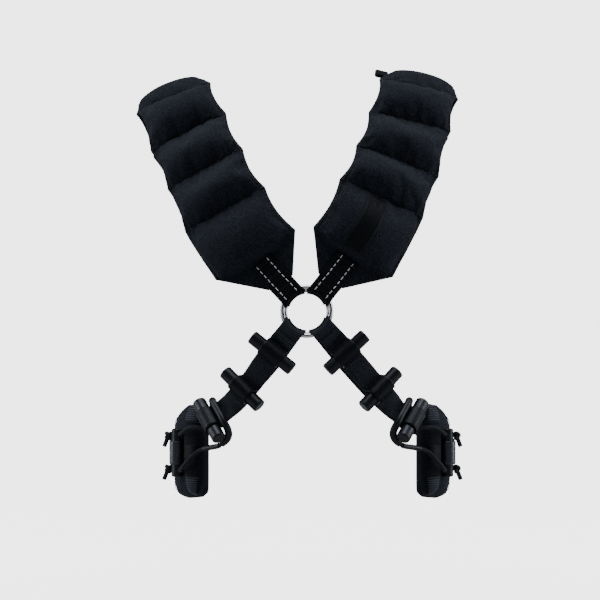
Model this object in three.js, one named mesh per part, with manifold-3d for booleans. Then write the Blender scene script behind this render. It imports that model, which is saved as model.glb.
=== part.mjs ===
// A weighted chest harness. Two quilted shoulder pads filled with lead shot meet at a front ring and
// a rear ring. Webbing straps run from the front ring to trim weights at the waist, where elastic
// loops hook over rod toggles, and webbing runs from the rear ring to the rods that hold the loops.
//
// Millimetres. +X is to the right as seen from the front, +Y points to the back, +Z is up. The
// origin is the middle between the shoulders, level with the seams at the crest of the pads.
// "left" is at -X. Every soft piece keeps the shape that it has when worn.

import * as THREE from "three";
import { mergeVertices } from "three/addons/utils/BufferGeometryUtils.js";
import Module from "manifold-3d";

const wasm = await Module();
wasm.setup();

const vec = (x, y, z) => new THREE.Vector3(x, y, z);
const SIDES = { left: -1, right: 1 };

// ---------------------------------------------------------------- driving dimensions

const FRONT_RING = vec(0, -115, -251);
const REAR_RING = vec(1, 118, -253);
const RING_RADIUS = 25.4; // to the middle of the wire
const WIRE_RADIUS = 2.5;

const STRAP_WIDTH = 25;
const WEB_THICK = 1.6;
const GAP = 0.35; // between pieces that touch
const LAYER_GAP = 0.3; // between two layers of the same strap

// The quilting seams of each pad's front half, from the crest to the corners of the end panel.
const FRONT_SEAMS = {
  left: [
    { inner: vec(-105, -28, -1), outer: vec(-186, -15, -32) },
    { inner: vec(-87, -62, -37), outer: vec(-169, -45, -78) },
    { inner: vec(-68, -92, -78), outer: vec(-149, -68, -121) },
    { inner: vec(-44, -110, -120), outer: vec(-129, -88, -167) },
    { inner: vec(-12, -117, -165), outer: vec(-96, -106, -218) },
  ],
  right: [
    { inner: vec(80, -28, 3), outer: vec(166, -15, -15) },
    { inner: vec(67, -62, -36), outer: vec(157, -45, -56) },
    { inner: vec(53, -92, -74), outer: vec(142, -68, -107) },
    { inner: vec(35, -110, -111), outer: vec(124, -88, -152) },
    { inner: vec(7, -117, -162), outer: vec(91, -106, -215) },
  ],
};
const REAR_SEAM_COUNT = 4; // the rear half repeats this many of the front seams
const REAR_SPREAD = 4; // the rear seams lie this much further from the spine
const FRONT_TIP_REACH = 40.5; // ring centre to the pad's front tip
const REAR_TIP_REACH = 96; // ring centre to the pad's rear tip
const TIP_HALF_WIDTH = 15;

const PAD_PUFF = 17; // a filled channel's height over its seams
const CREST_PUFF = 14;
const BODY_PUFF = 3; // the same on the wearer's side
const SEAM_SCALLOP = 4; // how far an edge pulls in between two seams
const SEAM_RISE = 0.2; // underside of the cover above the seam line
const COVER_THICK = 1.2;
const BACKING_DROP = 1; // backing sheet below the seam line
const BACKING_THICK = 1.2;
const BAG_MARGIN = 4; // shot bag inside its channel
const BAG_FLOOR = -0.2; // underside of a shot bag from the seam line
const BAG_THICK_MIN = 1.2;
const BAG_EDGE = 0.12; // share of the pad's width between a bag and the edge
const BAG_END = 0.12; // share of the filled length between a bag and the seam
const BAG_STEPS = 3;
const PANEL_PUFF_END = 0.573; // share of an end panel that is filled, the rest is sewn flat

const FILL_EASE = 0.6; // how steeply a channel rises from its seams
const EDGE_FALL = { square: 2.4, ease: 0.65 }; // how it rounds down to the pad's edges
const PAD_COLUMNS = 6;
const COVER_STEPS = 4; // rows between two stations
const BACKING_STEPS = 2;

const TOGGLE_RADIUS = 7.4;
const TOGGLE_LENGTH = 55;
const TOGGLE_ROUND = 1.8;
const ROD_SIDES = { toggle: 12, side: 16 };

// Waist: an ellipse that the side pads lie on. Angles count from the front towards the side.
const WAIST = { x: 6.5, halfWidth: 143.5, halfDepth: 92 };
const SIDE_PAD_THICK = 10;
const TRIM = { angle: 54, halfWidth: 15, top: -350.5, bottom: -449.5, thick: 14.5, edge: 6 };
const ROD = { angle: 65.5, radius: 6.5, length: 52, z: -404.5, round: 1.2, holeInset: 8 };
const ROD_HOLE_RADIUS = 3.1;

const CORD_RADIUS = 2.5;
const HOSE_RADIUS = 4;
const HOSE_BORE = 2.9;
const KNOT_RADIUS = 5.6;

const COLOURS = {
  fabric: { color: 0x14161a, roughness: 0.92, metalness: 0 },
  webbing: { color: 0x0d0f13, roughness: 0.8, metalness: 0 },
  plastic: { color: 0x15171b, roughness: 0.45, metalness: 0 },
  rubber: { color: 0x121317, roughness: 0.5, metalness: 0 },
  cord: { color: 0x191b20, roughness: 0.7, metalness: 0 },
  steel: { color: 0xc9ccd0, roughness: 0.18, metalness: 1 },
  lead: { color: 0x4f5256, roughness: 0.6, metalness: 0.8 },
  label: { color: 0x0a0b0e, roughness: 0.6, metalness: 0 },
};

const harness = new THREE.Group();

function addPart(name, geometry, look) {
  const mesh = new THREE.Mesh(geometry, new THREE.MeshStandardMaterial(COLOURS[look]));
  mesh.name = name;
  harness.add(mesh);
  return mesh;
}

// ---------------------------------------------------------------- shared geometry

// Numbers from 0 to 1, closer together at both ends.
function easedSteps(count) {
  return Array.from({ length: count + 1 }, (_, i) => (1 - Math.cos((Math.PI * i) / count)) / 2);
}

function evenSteps(count) {
  return Array.from({ length: count + 1 }, (_, i) => i / count);
}

function smooth(from, to, value) {
  return THREE.MathUtils.smoothstep(value, from, to);
}

// From 0 at both ends of t to 1 between them.
function bulge(t, { square, ease }) {
  return (1 - Math.abs(2 * t - 1) ** square) ** ease;
}

// The indices round a grid's rim, in the order that its faces turn.
function rimOf(rowCount, columnCount) {
  const rim = [];
  const at = (row, column) => row * columnCount + column;
  for (let column = 0; column < columnCount - 1; column += 1) rim.push(at(0, column));
  for (let row = 0; row < rowCount - 1; row += 1) rim.push(at(row, columnCount - 1));
  for (let column = columnCount - 1; column > 0; column -= 1) rim.push(at(rowCount - 1, column));
  for (let row = rowCount - 1; row > 0; row -= 1) rim.push(at(row, 0));
  return rim;
}

function signedVolume(points, triangles) {
  return triangles.reduce((sum, [a, b, c]) => {
    return sum + points[a].dot(points[b].clone().cross(points[c])) / 6;
  }, 0);
}

// A closed solid between two grids of points, each a list of rows.
function gridSolid(upper, lower) {
  const columnCount = upper[0].length;
  const layer = upper.length * columnCount;
  const points = [...upper.flat(), ...lower.flat()];
  const triangles = [];
  const quad = (a, b, c, d) => triangles.push([a, b, c], [a, c, d]);
  for (let row = 1; row < upper.length; row += 1) {
    for (let column = 1; column < columnCount; column += 1) {
      const c = row * columnCount + column;
      const [a, b, d] = [c - columnCount - 1, c - columnCount, c - 1];
      quad(a, b, c, d);
      quad(layer + c, layer + b, layer + a, layer + d);
    }
  }
  const rim = rimOf(upper.length, columnCount);
  rim.forEach((a, i) => {
    const b = rim[(i + 1) % rim.length];
    quad(b, a, layer + a, layer + b);
  });
  const outward = signedVolume(points, triangles) > 0;
  const geometry = new THREE.BufferGeometry().setFromPoints(points);
  geometry.setIndex(triangles.flatMap(([a, b, c]) => (outward ? [a, b, c] : [a, c, b])));
  geometry.computeVertexNormals();
  return geometry;
}

function gridOf(rows, columns, pointAt) {
  return rows.map((v) => columns.map((u) => pointAt(u, v)));
}

function toManifold(geometry) {
  const bare = geometry.clone();
  bare.deleteAttribute("normal");
  bare.deleteAttribute("uv");
  const merged = mergeVertices(bare, 1e-4);
  const vertProperties = merged.attributes.position.array;
  return new wasm.Manifold(
    new wasm.Mesh({ numProp: 3, vertProperties, triVerts: new Uint32Array(merged.index.array) }),
  );
}

function fromManifold(solid) {
  const mesh = solid.getMesh();
  const geometry = new THREE.BufferGeometry();
  geometry.setAttribute("position", new THREE.BufferAttribute(mesh.vertProperties, 3));
  geometry.setIndex(new THREE.BufferAttribute(mesh.triVerts, 1));
  geometry.computeVertexNormals();
  return geometry;
}

// A rod along +Z with rounded rims, centred on the origin.
function roundedRod(radius, length, round, sides) {
  const half = length / 2;
  const profile = [
    new THREE.Vector2(0, -half),
    new THREE.Vector2(radius - round, -half),
    new THREE.Vector2(radius, -half + round),
    new THREE.Vector2(radius, half - round),
    new THREE.Vector2(radius - round, half),
    new THREE.Vector2(0, half),
  ];
  return new THREE.LatheGeometry(profile, sides).rotateX(Math.PI / 2);
}

function circleShape(radius, sides) {
  const points = evenSteps(sides).slice(0, -1).map((t) => {
    return new THREE.Vector2(Math.cos(2 * Math.PI * t) * radius, Math.sin(2 * Math.PI * t) * radius);
  });
  return new THREE.Shape(points);
}

// A round cord or hose along a smooth curve through the points, hollow if it has a bore.
function cordGeometry(points, radius, steps, sides, bore = 0) {
  const shape = circleShape(radius, sides);
  if (bore) shape.holes.push(new THREE.Path(circleShape(bore, sides).getPoints().reverse()));
  const extrudePath = new THREE.CatmullRomCurve3(points, false, "centripetal");
  return new THREE.ExtrudeGeometry(shape, { steps, extrudePath, bevelEnabled: false });
}

function turnedTo(mesh, direction, centre) {
  mesh.quaternion.setFromUnitVectors(vec(0, 0, 1), direction);
  mesh.position.copy(centre);
  return mesh;
}

// ---------------------------------------------------------------- rings

function buildRing(name, centre) {
  const ring = addPart(name, new THREE.TorusGeometry(RING_RADIUS, WIRE_RADIUS, 8, 32), "steel");
  ring.rotation.x = Math.PI / 2;
  ring.position.copy(centre);
}

// ---------------------------------------------------------------- shoulder pads

// A pad is a row of stations, each an inner and an outer point: rear tip, rear corners, six
// seams over the shoulder, front corners and front tip.
function midOf(station) {
  return station.inner.clone().add(station.outer).multiplyScalar(0.5);
}

function tipStation(ring, corners, target, reach) {
  const towardsPad = target.clone().sub(ring).normalize();
  const centre = ring.clone().addScaledVector(towardsPad, reach);
  const across = corners.outer.clone().sub(corners.inner).normalize();
  return {
    inner: centre.clone().addScaledVector(across, -TIP_HALF_WIDTH),
    outer: centre.clone().addScaledVector(across, TIP_HALF_WIDTH),
  };
}

function padStations(sideName) {
  const side = SIDES[sideName];
  const front = FRONT_SEAMS[sideName];
  const mirrored = (point) => vec(point.x + side * REAR_SPREAD, -point.y, point.z);
  const rear = front.slice(0, REAR_SEAM_COUNT).map(({ inner, outer }) => {
    return { inner: mirrored(inner), outer: mirrored(outer) };
  });
  const [rearCorners, frontCorners] = [rear.at(-1), front.at(-1)];
  const inRingPlane = midOf(frontCorners).setY(FRONT_RING.y);
  const rearTip = tipStation(REAR_RING, rearCorners, midOf(rearCorners), REAR_TIP_REACH);
  const frontTip = tipStation(FRONT_RING, frontCorners, inRingPlane, FRONT_TIP_REACH);
  return [rearTip, ...rear.reverse(), ...front, frontTip];
}

const PAD_STATION_COUNT = 2 + REAR_SEAM_COUNT + FRONT_SEAMS.left.length;
const LAST_STATION = PAD_STATION_COUNT - 1;

// A filled compartment runs between two stations. The two end panels taper to the tips.
function padCompartments() {
  const channels = [];
  for (let from = 2; from < LAST_STATION - 2; from += 1) channels.push({ from, to: from + 1 });
  const rearPanel = { from: 0, to: 2, panel: "rear" };
  const frontPanel = { from: LAST_STATION - 2, to: LAST_STATION, panel: "front" };
  return [rearPanel, ...channels, frontPanel];
}

const COMPARTMENTS = padCompartments();
const CREST_INDEX = COMPARTMENTS.findIndex(({ from }) => from === REAR_SEAM_COUNT);

// How full a compartment is at v, from 0 on its seams to 1 in its middle.
function fillAt(v) {
  const index = COMPARTMENTS.findIndex(({ to }) => v <= to);
  const { from, to, panel } = COMPARTMENTS[index];
  const along = (v - from) / (to - from);
  const fromSeam = panel === "rear" ? 1 - along : along;
  const share = panel ? Math.min(fromSeam / PANEL_PUFF_END, 1) : along;
  const scale = index === CREST_INDEX ? CREST_PUFF / PAD_PUFF : 1;
  return scale * Math.max(Math.sin(Math.PI * share), 0) ** FILL_EASE;
}

// The pad's shape: point(u, v, lift) with u across from inner to outer edge, v along in stations
// and lift outwards from the wearer.
function makePad(sideName) {
  const side = SIDES[sideName];
  const stations = padStations(sideName);
  const curveOf = (edge) => {
    return new THREE.CatmullRomCurve3(stations.slice(1, -1).map((station) => station[edge]));
  };
  const curves = { inner: curveOf("inner"), outer: curveOf("outer") };

  function edgePoint(edge, v) {
    const k = Math.min(Math.floor(v), LAST_STATION - 1);
    if (k === 0 || k === LAST_STATION - 1) {
      return stations[k][edge].clone().lerp(stations[k + 1][edge], v - k);
    }
    return curves[edge].getPoint((v - 1) / (PAD_STATION_COUNT - 3));
  }

  function surface(u, v) {
    const inner = edgePoint("inner", v);
    const outer = edgePoint("outer", v);
    const across = outer.clone().sub(inner).normalize();
    const pull = SEAM_SCALLOP * Math.abs(Math.sin(Math.PI * v));
    if (v > 1 && v < LAST_STATION - 1) inner.addScaledVector(across, pull);
    if (v > 2 && v < LAST_STATION - 2) outer.addScaledVector(across, -pull);
    return inner.lerp(outer, u);
  }

  function normal(v) {
    const reach = 0.3;
    const before = Math.max(v - reach, 0);
    const after = Math.min(v + reach, LAST_STATION);
    const across = edgePoint("outer", v).sub(edgePoint("inner", v));
    const along = surface(0.5, after).sub(surface(0.5, before));
    return across.cross(along).multiplyScalar(-side).normalize();
  }

  const point = (u, v, lift) => surface(u, v).addScaledVector(normal(v), lift);
  const top = (u, v) => SEAM_RISE + COVER_THICK + PAD_PUFF * fillAt(v) * bulge(u, EDGE_FALL);
  const bottom = (u, v) => -BACKING_DROP - BODY_PUFF * fillAt(v) * bulge(u, EDGE_FALL);
  return { point, top, bottom, normal, stations };
}

const pads = { left: makePad("left"), right: makePad("right") };

function padRows(stepsPerSpan) {
  const rows = [0];
  for (let k = 0; k < LAST_STATION; k += 1) {
    rows.push(...easedSteps(stepsPerSpan).slice(1).map((t) => k + t));
  }
  return rows;
}

function buildPad(sideName) {
  const { point, top, bottom } = pads[sideName];
  const columns = easedSteps(PAD_COLUMNS);
  const coverRows = padRows(COVER_STEPS);
  addPart(
    `${sideName}_pad_cover`,
    gridSolid(
      gridOf(coverRows, columns, (u, v) => point(u, v, top(u, v))),
      gridOf(coverRows, columns, (u, v) => point(u, v, top(u, v) - COVER_THICK)),
    ),
    "fabric",
  );
  const backingRows = padRows(BACKING_STEPS);
  addPart(
    `${sideName}_pad_backing`,
    gridSolid(
      gridOf(backingRows, columns, (u, v) => point(u, v, bottom(u, v))),
      gridOf(backingRows, columns, (u, v) => point(u, v, bottom(u, v) - BACKING_THICK)),
    ),
    "fabric",
  );
}

function bagSpan({ from, to, panel }) {
  const length = to - from;
  const filled = panel ? PANEL_PUFF_END : 1;
  const [low, high] = [BAG_END * filled * length, (1 - BAG_END) * filled * length];
  return panel === "rear" ? [to - high, to - low] : [from + low, from + high];
}

function buildShotBags(sideName) {
  const { point, top } = pads[sideName];
  COMPARTMENTS.forEach((compartment, index) => {
    const [first, last] = bagSpan(compartment);
    const rows = evenSteps(BAG_STEPS).map((t) => THREE.MathUtils.lerp(first, last, t));
    const columns = evenSteps(BAG_STEPS).map((t) => THREE.MathUtils.lerp(BAG_EDGE, 1 - BAG_EDGE, t));
    const lowest = BAG_FLOOR + BAG_THICK_MIN;
    const roof = (u, v) => Math.max(top(u, v) - COVER_THICK - BAG_MARGIN, lowest);
    addPart(
      `${sideName}_shot_bag_${index + 1}`,
      gridSolid(
        gridOf(rows, columns, (u, v) => point(u, v, roof(u, v))),
        gridOf(rows, columns, (u, v) => point(u, v, BAG_FLOOR)),
      ),
      "lead",
    );
  });
}

// ---------------------------------------------------------------- webbing

// A strap's route: at(s, lift, across) is a point s along the strap from its ring's centre, lifted
// away from the wearer and moved across the strap. +across is the upper edge on both sides.
function makeRoute(stations, side) {
  const curve = new THREE.CatmullRomCurve3(stations.map(({ point }) => point), false, "centripetal");
  const perSpan = 40;
  curve.arcLengthDivisions = (stations.length - 1) * perSpan;
  const lengths = curve.getLengths();
  const marks = stations.map((_, i) => lengths[i * perSpan]);
  const total = lengths[lengths.length - 1];

  function normalAt(s) {
    const next = Math.max(marks.findIndex((mark) => mark >= s), 1);
    const [from, to] = [marks[next - 1], marks[next]];
    return stations[next - 1].normal.clone().lerp(stations[next].normal, smooth(from, to, s));
  }

  function at(s, lift, across) {
    const inside = THREE.MathUtils.clamp(s, 0, total);
    const tangent = curve.getTangentAt(inside / total);
    const centre = curve.getPointAt(inside / total).addScaledVector(tangent, s - inside);
    const normal = normalAt(inside);
    normal.addScaledVector(tangent, -normal.dot(tangent)).normalize();
    const sideways = tangent.clone().cross(normal).multiplyScalar(-side);
    return centre.addScaledVector(normal, lift).addScaledVector(sideways, across);
  }

  const directionAt = (s) => curve.getTangentAt(THREE.MathUtils.clamp(s / total, 0, 1));
  return { at, marks, total, directionAt };
}

const RING_APPROACH = [-9, 4, 11].map((s) => RING_RADIUS + s);
const RING_STATION_COUNT = 1 + RING_APPROACH.length;
const FOLD_FOLLOW = { from: RING_RADIUS + 2, to: RING_RADIUS + 16 }; // where a fold straightens

// A strap leaves its ring in the ring's own plane, heading for a point.
function ringStations(ring, target, normal) {
  const heading = target.clone().sub(ring).setY(0).normalize();
  return [0, ...RING_APPROACH].map((s) => ({ point: ring.clone().addScaledVector(heading, s), normal }));
}

// Webbing is a flat strip: its path is a list of [s, lift] points, given to the strap's route.
// Near a ring the fold follows the round wire, so its middle reaches further than its edges.
function webbingGeometry(route, path, width, columnCount) {
  const half = width / 2;
  const acrossSteps = evenSteps(columnCount).map((t) => (2 * t - 1) * half);

  function place([s, lift], across) {
    const wireAt = Math.sqrt(RING_RADIUS ** 2 - across ** 2);
    const slant = RING_RADIUS / wireAt;
    if (s <= RING_RADIUS) return route.at(wireAt + (s - RING_RADIUS) * slant, lift, across);
    const follow = 1 - smooth(FOLD_FOLLOW.from, FOLD_FOLLOW.to, s);
    return route.at(s - (RING_RADIUS - wireAt) * follow, lift, across);
  }

  const offsets = path.map((here, i) => {
    const before = path[Math.max(i - 1, 0)];
    const after = path[Math.min(i + 1, path.length - 1)];
    const [ds, dl] = [after[0] - before[0], after[1] - before[1]];
    const scale = WEB_THICK / 2 / Math.hypot(ds, dl);
    return [-dl * scale, ds * scale];
  });
  const layer = (sign) => {
    return path.map(([s, lift], i) => {
      const [ds, dl] = offsets[i];
      return acrossSteps.map((across) => place([s + sign * ds, lift + sign * dl], across));
    });
  };
  return gridSolid(layer(1), layer(-1));
}

// Points on a circle in the (s, lift) plane, from one angle to another in degrees.
function arcPath(centre, radius, fromAngle, toAngle, steps) {
  return evenSteps(steps).map((t) => {
    const angle = THREE.MathUtils.degToRad(THREE.MathUtils.lerp(fromAngle, toAngle, t));
    return [centre[0] + radius * Math.cos(angle), centre[1] + radius * Math.sin(angle)];
  });
}

function straightPath(from, to, step) {
  const count = Math.max(Math.round(Math.abs(to[0] - from[0]) / step), 1);
  return evenSteps(count).map((t) => {
    return [THREE.MathUtils.lerp(from[0], to[0], t), THREE.MathUtils.lerp(from[1], to[1], t)];
  });
}

const WRAP_GAP = 0.45; // between a ring's wire and the webbing
const WRAP_RADIUS = WIRE_RADIUS + WRAP_GAP + WEB_THICK / 2;
const RING_WRAP = arcPath([RING_RADIUS, 0], WRAP_RADIUS, 90, 270, 6);

function slicedRamp(from, to, step) {
  return straightPath(from, to, step).slice(1);
}

// ---------------------------------------------------------------- pad tabs

const FRONT_TAB = { width: 27, topEnd: 70.5, underEnd: 62 };
const TAB_CLEARANCE = 1.15; // between a tab and the cover or backing
const REAR_TAB_GRIP = 32; // how far the rear webbing reaches over the pad's tip
const TAB_PARTING = 8; // from the wire to where a tab's two layers part
const TAB_STEP = 12;

function buildTab(sideName, place) {
  const side = SIDES[sideName];
  const { stations, normal } = pads[sideName];
  const front = place === "front";
  const ring = front ? FRONT_RING : REAR_RING;
  const tip = midOf(stations[front ? LAST_STATION : 0]);
  const corner = midOf(stations[front ? LAST_STATION - 1 : 1]);
  const padNormal = normal(front ? LAST_STATION : 0);
  const route = makeRoute(
    [
      ...ringStations(ring, tip, vec(0, front ? -1 : 1, 0)),
      { point: tip, normal: padNormal },
      { point: tip.clone().lerp(corner, 0.5), normal: padNormal },
      { point: corner, normal: padNormal },
    ],
    front ? side : -side,
  );
  const tipAt = route.marks[RING_STATION_COUNT];
  const topEnd = front ? FRONT_TAB.topEnd : tipAt + REAR_TAB_GRIP;
  const underEnd = front ? FRONT_TAB.underEnd : topEnd;
  const above = SEAM_RISE + COVER_THICK + TAB_CLEARANCE + WEB_THICK / 2;
  const below = -BACKING_DROP - BACKING_THICK - TAB_CLEARANCE - WEB_THICK / 2;
  const outTo = RING_RADIUS + TAB_PARTING;
  const path = [
    ...straightPath([topEnd, above], [outTo, above], TAB_STEP),
    ...RING_WRAP,
    ...straightPath([outTo, below], [underEnd, below], TAB_STEP),
  ];
  const [width, columnCount] = front ? [FRONT_TAB.width, 4] : [STRAP_WIDTH, 2];
  addPart(`${sideName}_${place}_tab`, webbingGeometry(route, path, width, columnCount), "webbing");
}

// ---------------------------------------------------------------- lower straps and toggles

// Points on the strap's middle line, spread to both sides of a line that leans with the wearer.
const LOWER_STRAP_POINTS = [
  { lean: 2.6, spread: 37.9, y: -113.2, z: -294.3, normal: vec(-0.1, -0.99, 0.04) },
  { lean: 5, spread: 70.2, y: -104.7, z: -333.3, normal: vec(-0.35, -0.93, 0.08) },
  { lean: 4.5, spread: 103.4, y: -95.7, z: -368.3, normal: vec(-0.69, -0.7, 0.2) },
  { lean: 4.5, spread: 117, y: -86.3, z: -379.5, normal: vec(-0.69, -0.7, 0.2) },
];
const TOGGLE_COUNT = 3;
const STRAIGHT_REACH = 13;
const LAYER_LIFT = WEB_THICK / 2 + LAYER_GAP; // two layers of webbing, either side of the route
const TOGGLE_LIFT = -LAYER_LIFT + WEB_THICK / 2 + GAP + TOGGLE_RADIUS;
const SLEEVE_RADIUS = TOGGLE_RADIUS + GAP + WEB_THICK / 2 + LAYER_GAP;
const SLEEVE_REACH = 10.2; // from a toggle's centre to where its sleeve is sewn down
const SLEEVE_ARC = { from: 15, to: 165, steps: 5 };
const LAST_SLEEVE_ARC = { from: -60, to: 165, steps: 8 };
const LOWER_FOLD = 10; // from the ring's wire to the end of the fold
const LOWER_STEP = 8;

// The strap is straight for a short way to both sides of each toggle.
function lowerStrapRoute(sideName) {
  const side = SIDES[sideName];
  const points = LOWER_STRAP_POINTS.map(({ lean, spread, y, z }) => vec(lean + side * spread, y, z));
  const down = LOWER_STRAP_POINTS.slice(0, TOGGLE_COUNT).flatMap(({ normal }, i) => {
    const along = points[i + 1].clone().sub(i ? points[i - 1] : FRONT_RING).normalize();
    const turned = vec(-side * normal.x, normal.y, normal.z);
    return [-STRAIGHT_REACH, 0, STRAIGHT_REACH].map((s) => {
      return { point: points[i].clone().addScaledVector(along, s), normal: turned };
    });
  });
  return makeRoute([...ringStations(FRONT_RING, down[0].point, vec(0, -1, 0)), ...down], side);
}

const lowerRoutes = { left: lowerStrapRoute("left"), right: lowerStrapRoute("right") };

// Where the toggles sit along the route.
function toggleMarks(route) {
  return route.marks.filter((_, i) => i >= RING_STATION_COUNT && (i - RING_STATION_COUNT) % 3 === 1);
}

// One strip: folded round the ring, along the wearer's side, round the last toggle, and back over
// all three toggles.
function lowerStrapPath(marks) {
  const [first, second, last] = marks;
  const foldEnd = RING_RADIUS + LOWER_FOLD;
  const foldLift = LAYER_LIFT + WEB_THICK + LAYER_GAP;
  const topLayer = (from, to) => straightPath([from, LAYER_LIFT], [to, LAYER_LIFT], LOWER_STEP);
  const between = (from, to) => topLayer(from - SLEEVE_REACH, to + SLEEVE_REACH);
  const sleeve = (mark, { from, to, steps }) => {
    return arcPath([mark, TOGGLE_LIFT], SLEEVE_RADIUS, from, to, steps);
  };
  return [
    [foldEnd, foldLift],
    ...RING_WRAP,
    ...straightPath([foldEnd, -LAYER_LIFT], [last, -LAYER_LIFT], LOWER_STEP),
    ...sleeve(last, LAST_SLEEVE_ARC),
    ...between(last, second),
    ...sleeve(second, SLEEVE_ARC),
    ...between(second, first),
    ...sleeve(first, SLEEVE_ARC),
    ...topLayer(first - SLEEVE_REACH, foldEnd - 1),
  ];
}

function buildLowerStrap(sideName) {
  const route = lowerRoutes[sideName];
  const marks = toggleMarks(route);
  const strap = webbingGeometry(route, lowerStrapPath(marks), STRAP_WIDTH, 4);
  addPart(`${sideName}_lower_strap`, strap, "webbing");
  marks.forEach((mark, index) => {
    const centre = route.at(mark, TOGGLE_LIFT, 0);
    const direction = route.at(mark, TOGGLE_LIFT, 1).sub(centre).normalize();
    const rod = roundedRod(TOGGLE_RADIUS, TOGGLE_LENGTH, TOGGLE_ROUND, ROD_SIDES.toggle);
    turnedTo(addPart(`${sideName}_toggle_${index + 1}`, rod, "plastic"), direction, centre);
  });
}

// ---------------------------------------------------------------- waist pieces

// A point on the waist ellipse, lifted square to it.
function waistPoint(sideName, angle, lift, z) {
  const side = SIDES[sideName];
  const turn = THREE.MathUtils.degToRad(angle);
  const { halfWidth, halfDepth } = WAIST;
  const normal = vec(side * halfDepth * Math.sin(turn), -halfWidth * Math.cos(turn), 0).normalize();
  const base = vec(WAIST.x + side * halfWidth * Math.sin(turn), -halfDepth * Math.cos(turn), z);
  return base.addScaledVector(normal, lift);
}

function waistNormal(sideName, angle) {
  return waistPoint(sideName, angle, 1, 0).sub(waistPoint(sideName, angle, 0, 0));
}

// Side pad outline: the waist angle, and its top and bottom there.
const SIDE_PAD_OUTLINE = [
  [50, -357, -446],
  [54, -352, -452],
  [66, -353, -455],
  [80, -365, -453],
  [96, -380, -437],
  [112, -390, -420],
];

const SIDE_PAD_STEPS = { around: 12, up: 5 };
const SIDE_PAD_RIM = { thick: 0.45, square: 4, ease: 0.5 }; // the rim's share of the thickness

function outlineAt(angle) {
  const next = Math.max(SIDE_PAD_OUTLINE.findIndex(([a]) => a >= angle), 1);
  const [from, to] = [SIDE_PAD_OUTLINE[next - 1], SIDE_PAD_OUTLINE[next]];
  const t = (angle - from[0]) / (to[0] - from[0]);
  return [1, 2].map((column) => THREE.MathUtils.lerp(from[column], to[column], t));
}

function buildSidePad(sideName) {
  const [start, end] = [SIDE_PAD_OUTLINE[0][0], SIDE_PAD_OUTLINE.at(-1)[0]];
  const rows = evenSteps(SIDE_PAD_STEPS.around).map((t) => THREE.MathUtils.lerp(start, end, t));
  const columns = easedSteps(SIDE_PAD_STEPS.up);
  const { thick } = SIDE_PAD_RIM;
  const rim = (u) => thick + (1 - thick) * bulge(u, SIDE_PAD_RIM);
  const pointAt = (lift) => (u, angle) => {
    const [top, bottom] = outlineAt(angle);
    return waistPoint(sideName, angle, lift * rim(u), THREE.MathUtils.lerp(bottom, top, u));
  };
  const upper = gridOf(rows, columns, pointAt(SIDE_PAD_THICK));
  const lower = gridOf(rows, columns, pointAt(0));
  addPart(`${sideName}_side_pad`, gridSolid(upper, lower), "fabric");
}

const TRIM_ENDS = { width: 0.35, square: 3, ease: 0.5 };
const TRIM_CROWN = { square: 2.4, ease: 0.7 };
const TRIM_TAPER = { square: 5, ease: 0.6 };
const ARC_LENGTH = 2.32; // millimetres for each degree of the waist at the pouch's height
const PLATE_MARGIN = { across: 0.14, along: 0.1, under: 0.4, over: 1.6 };
const TRIM_STEPS = { along: 8, across: 6, plate: 4 };

// The trim weight's half width, in degrees, narrows to rounded ends.
function trimReach(v) {
  const share = TRIM_ENDS.width + (1 - TRIM_ENDS.width) * bulge(v, TRIM_ENDS);
  return (TRIM.halfWidth * share) / ARC_LENGTH;
}

function trimThickness(u, v) {
  const crown = bulge(u, TRIM_CROWN);
  const ends = bulge(v, TRIM_TAPER);
  return TRIM.edge + (TRIM.thick - TRIM.edge) * crown * ends;
}

const TRIM_BASE = SIDE_PAD_THICK + GAP;
const POUCH_THICK = 1.2;

function trimPoint(sideName, u, v, lift) {
  const angle = TRIM.angle + (2 * u - 1) * trimReach(v);
  return waistPoint(sideName, angle, TRIM_BASE + lift, THREE.MathUtils.lerp(TRIM.bottom, TRIM.top, v));
}

function buildTrimWeight(sideName) {
  const rows = easedSteps(TRIM_STEPS.along);
  const columns = easedSteps(TRIM_STEPS.across);
  const inRange = (t, margin) => THREE.MathUtils.lerp(margin, 1 - margin, t);
  const wall = (u) => (u > 0 && u < 1 ? 1 : 0);
  const inner = (u, v) => wall(u) * wall(v) * (trimThickness(u, v) - POUCH_THICK);
  addPart(
    `${sideName}_trim_pouch`,
    gridSolid(
      gridOf(rows, columns, (u, v) => trimPoint(sideName, u, v, trimThickness(u, v))),
      gridOf(rows, columns, (u, v) => trimPoint(sideName, u, v, inner(u, v))),
    ),
    "fabric",
  );
  const core = (lift) => (u, v) => {
    const [cu, cv] = [inRange(u, PLATE_MARGIN.across), inRange(v, PLATE_MARGIN.along)];
    return trimPoint(sideName, cu, cv, lift(cu, cv));
  };
  const steps = evenSteps(TRIM_STEPS.plate);
  const roof = (u, v) => trimThickness(u, v) - POUCH_THICK - PLATE_MARGIN.over;
  addPart(
    `${sideName}_trim_plate`,
    gridSolid(
      gridOf(steps, steps, core(roof)),
      gridOf(steps, steps, core(() => PLATE_MARGIN.under)),
    ),
    "lead",
  );
}

// ---------------------------------------------------------------- side rods and rear straps

const STRAP_ON_PAD = SIDE_PAD_THICK + 2 * GAP + WEB_THICK / 2;
const ROD_LIFT = STRAP_ON_PAD + WEB_THICK / 2 + GAP + ROD.radius;
const ROD_WRAP_RADIUS = ROD.radius + GAP + WEB_THICK / 2 + 0.5;
const DRILL_SIDES = 12;

// The loop's ends leave the rod outwards and back.
function rodHoleDirection(sideName) {
  return vec(SIDES[sideName] * 0.78, 0.63, 0).normalize();
}

function rodHoleHeights() {
  const reach = ROD.length / 2 - ROD.holeInset;
  return { upper: ROD.z + reach, lower: ROD.z - reach };
}

function rodCentre(sideName, z) {
  return waistPoint(sideName, ROD.angle, ROD_LIFT, z);
}

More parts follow.
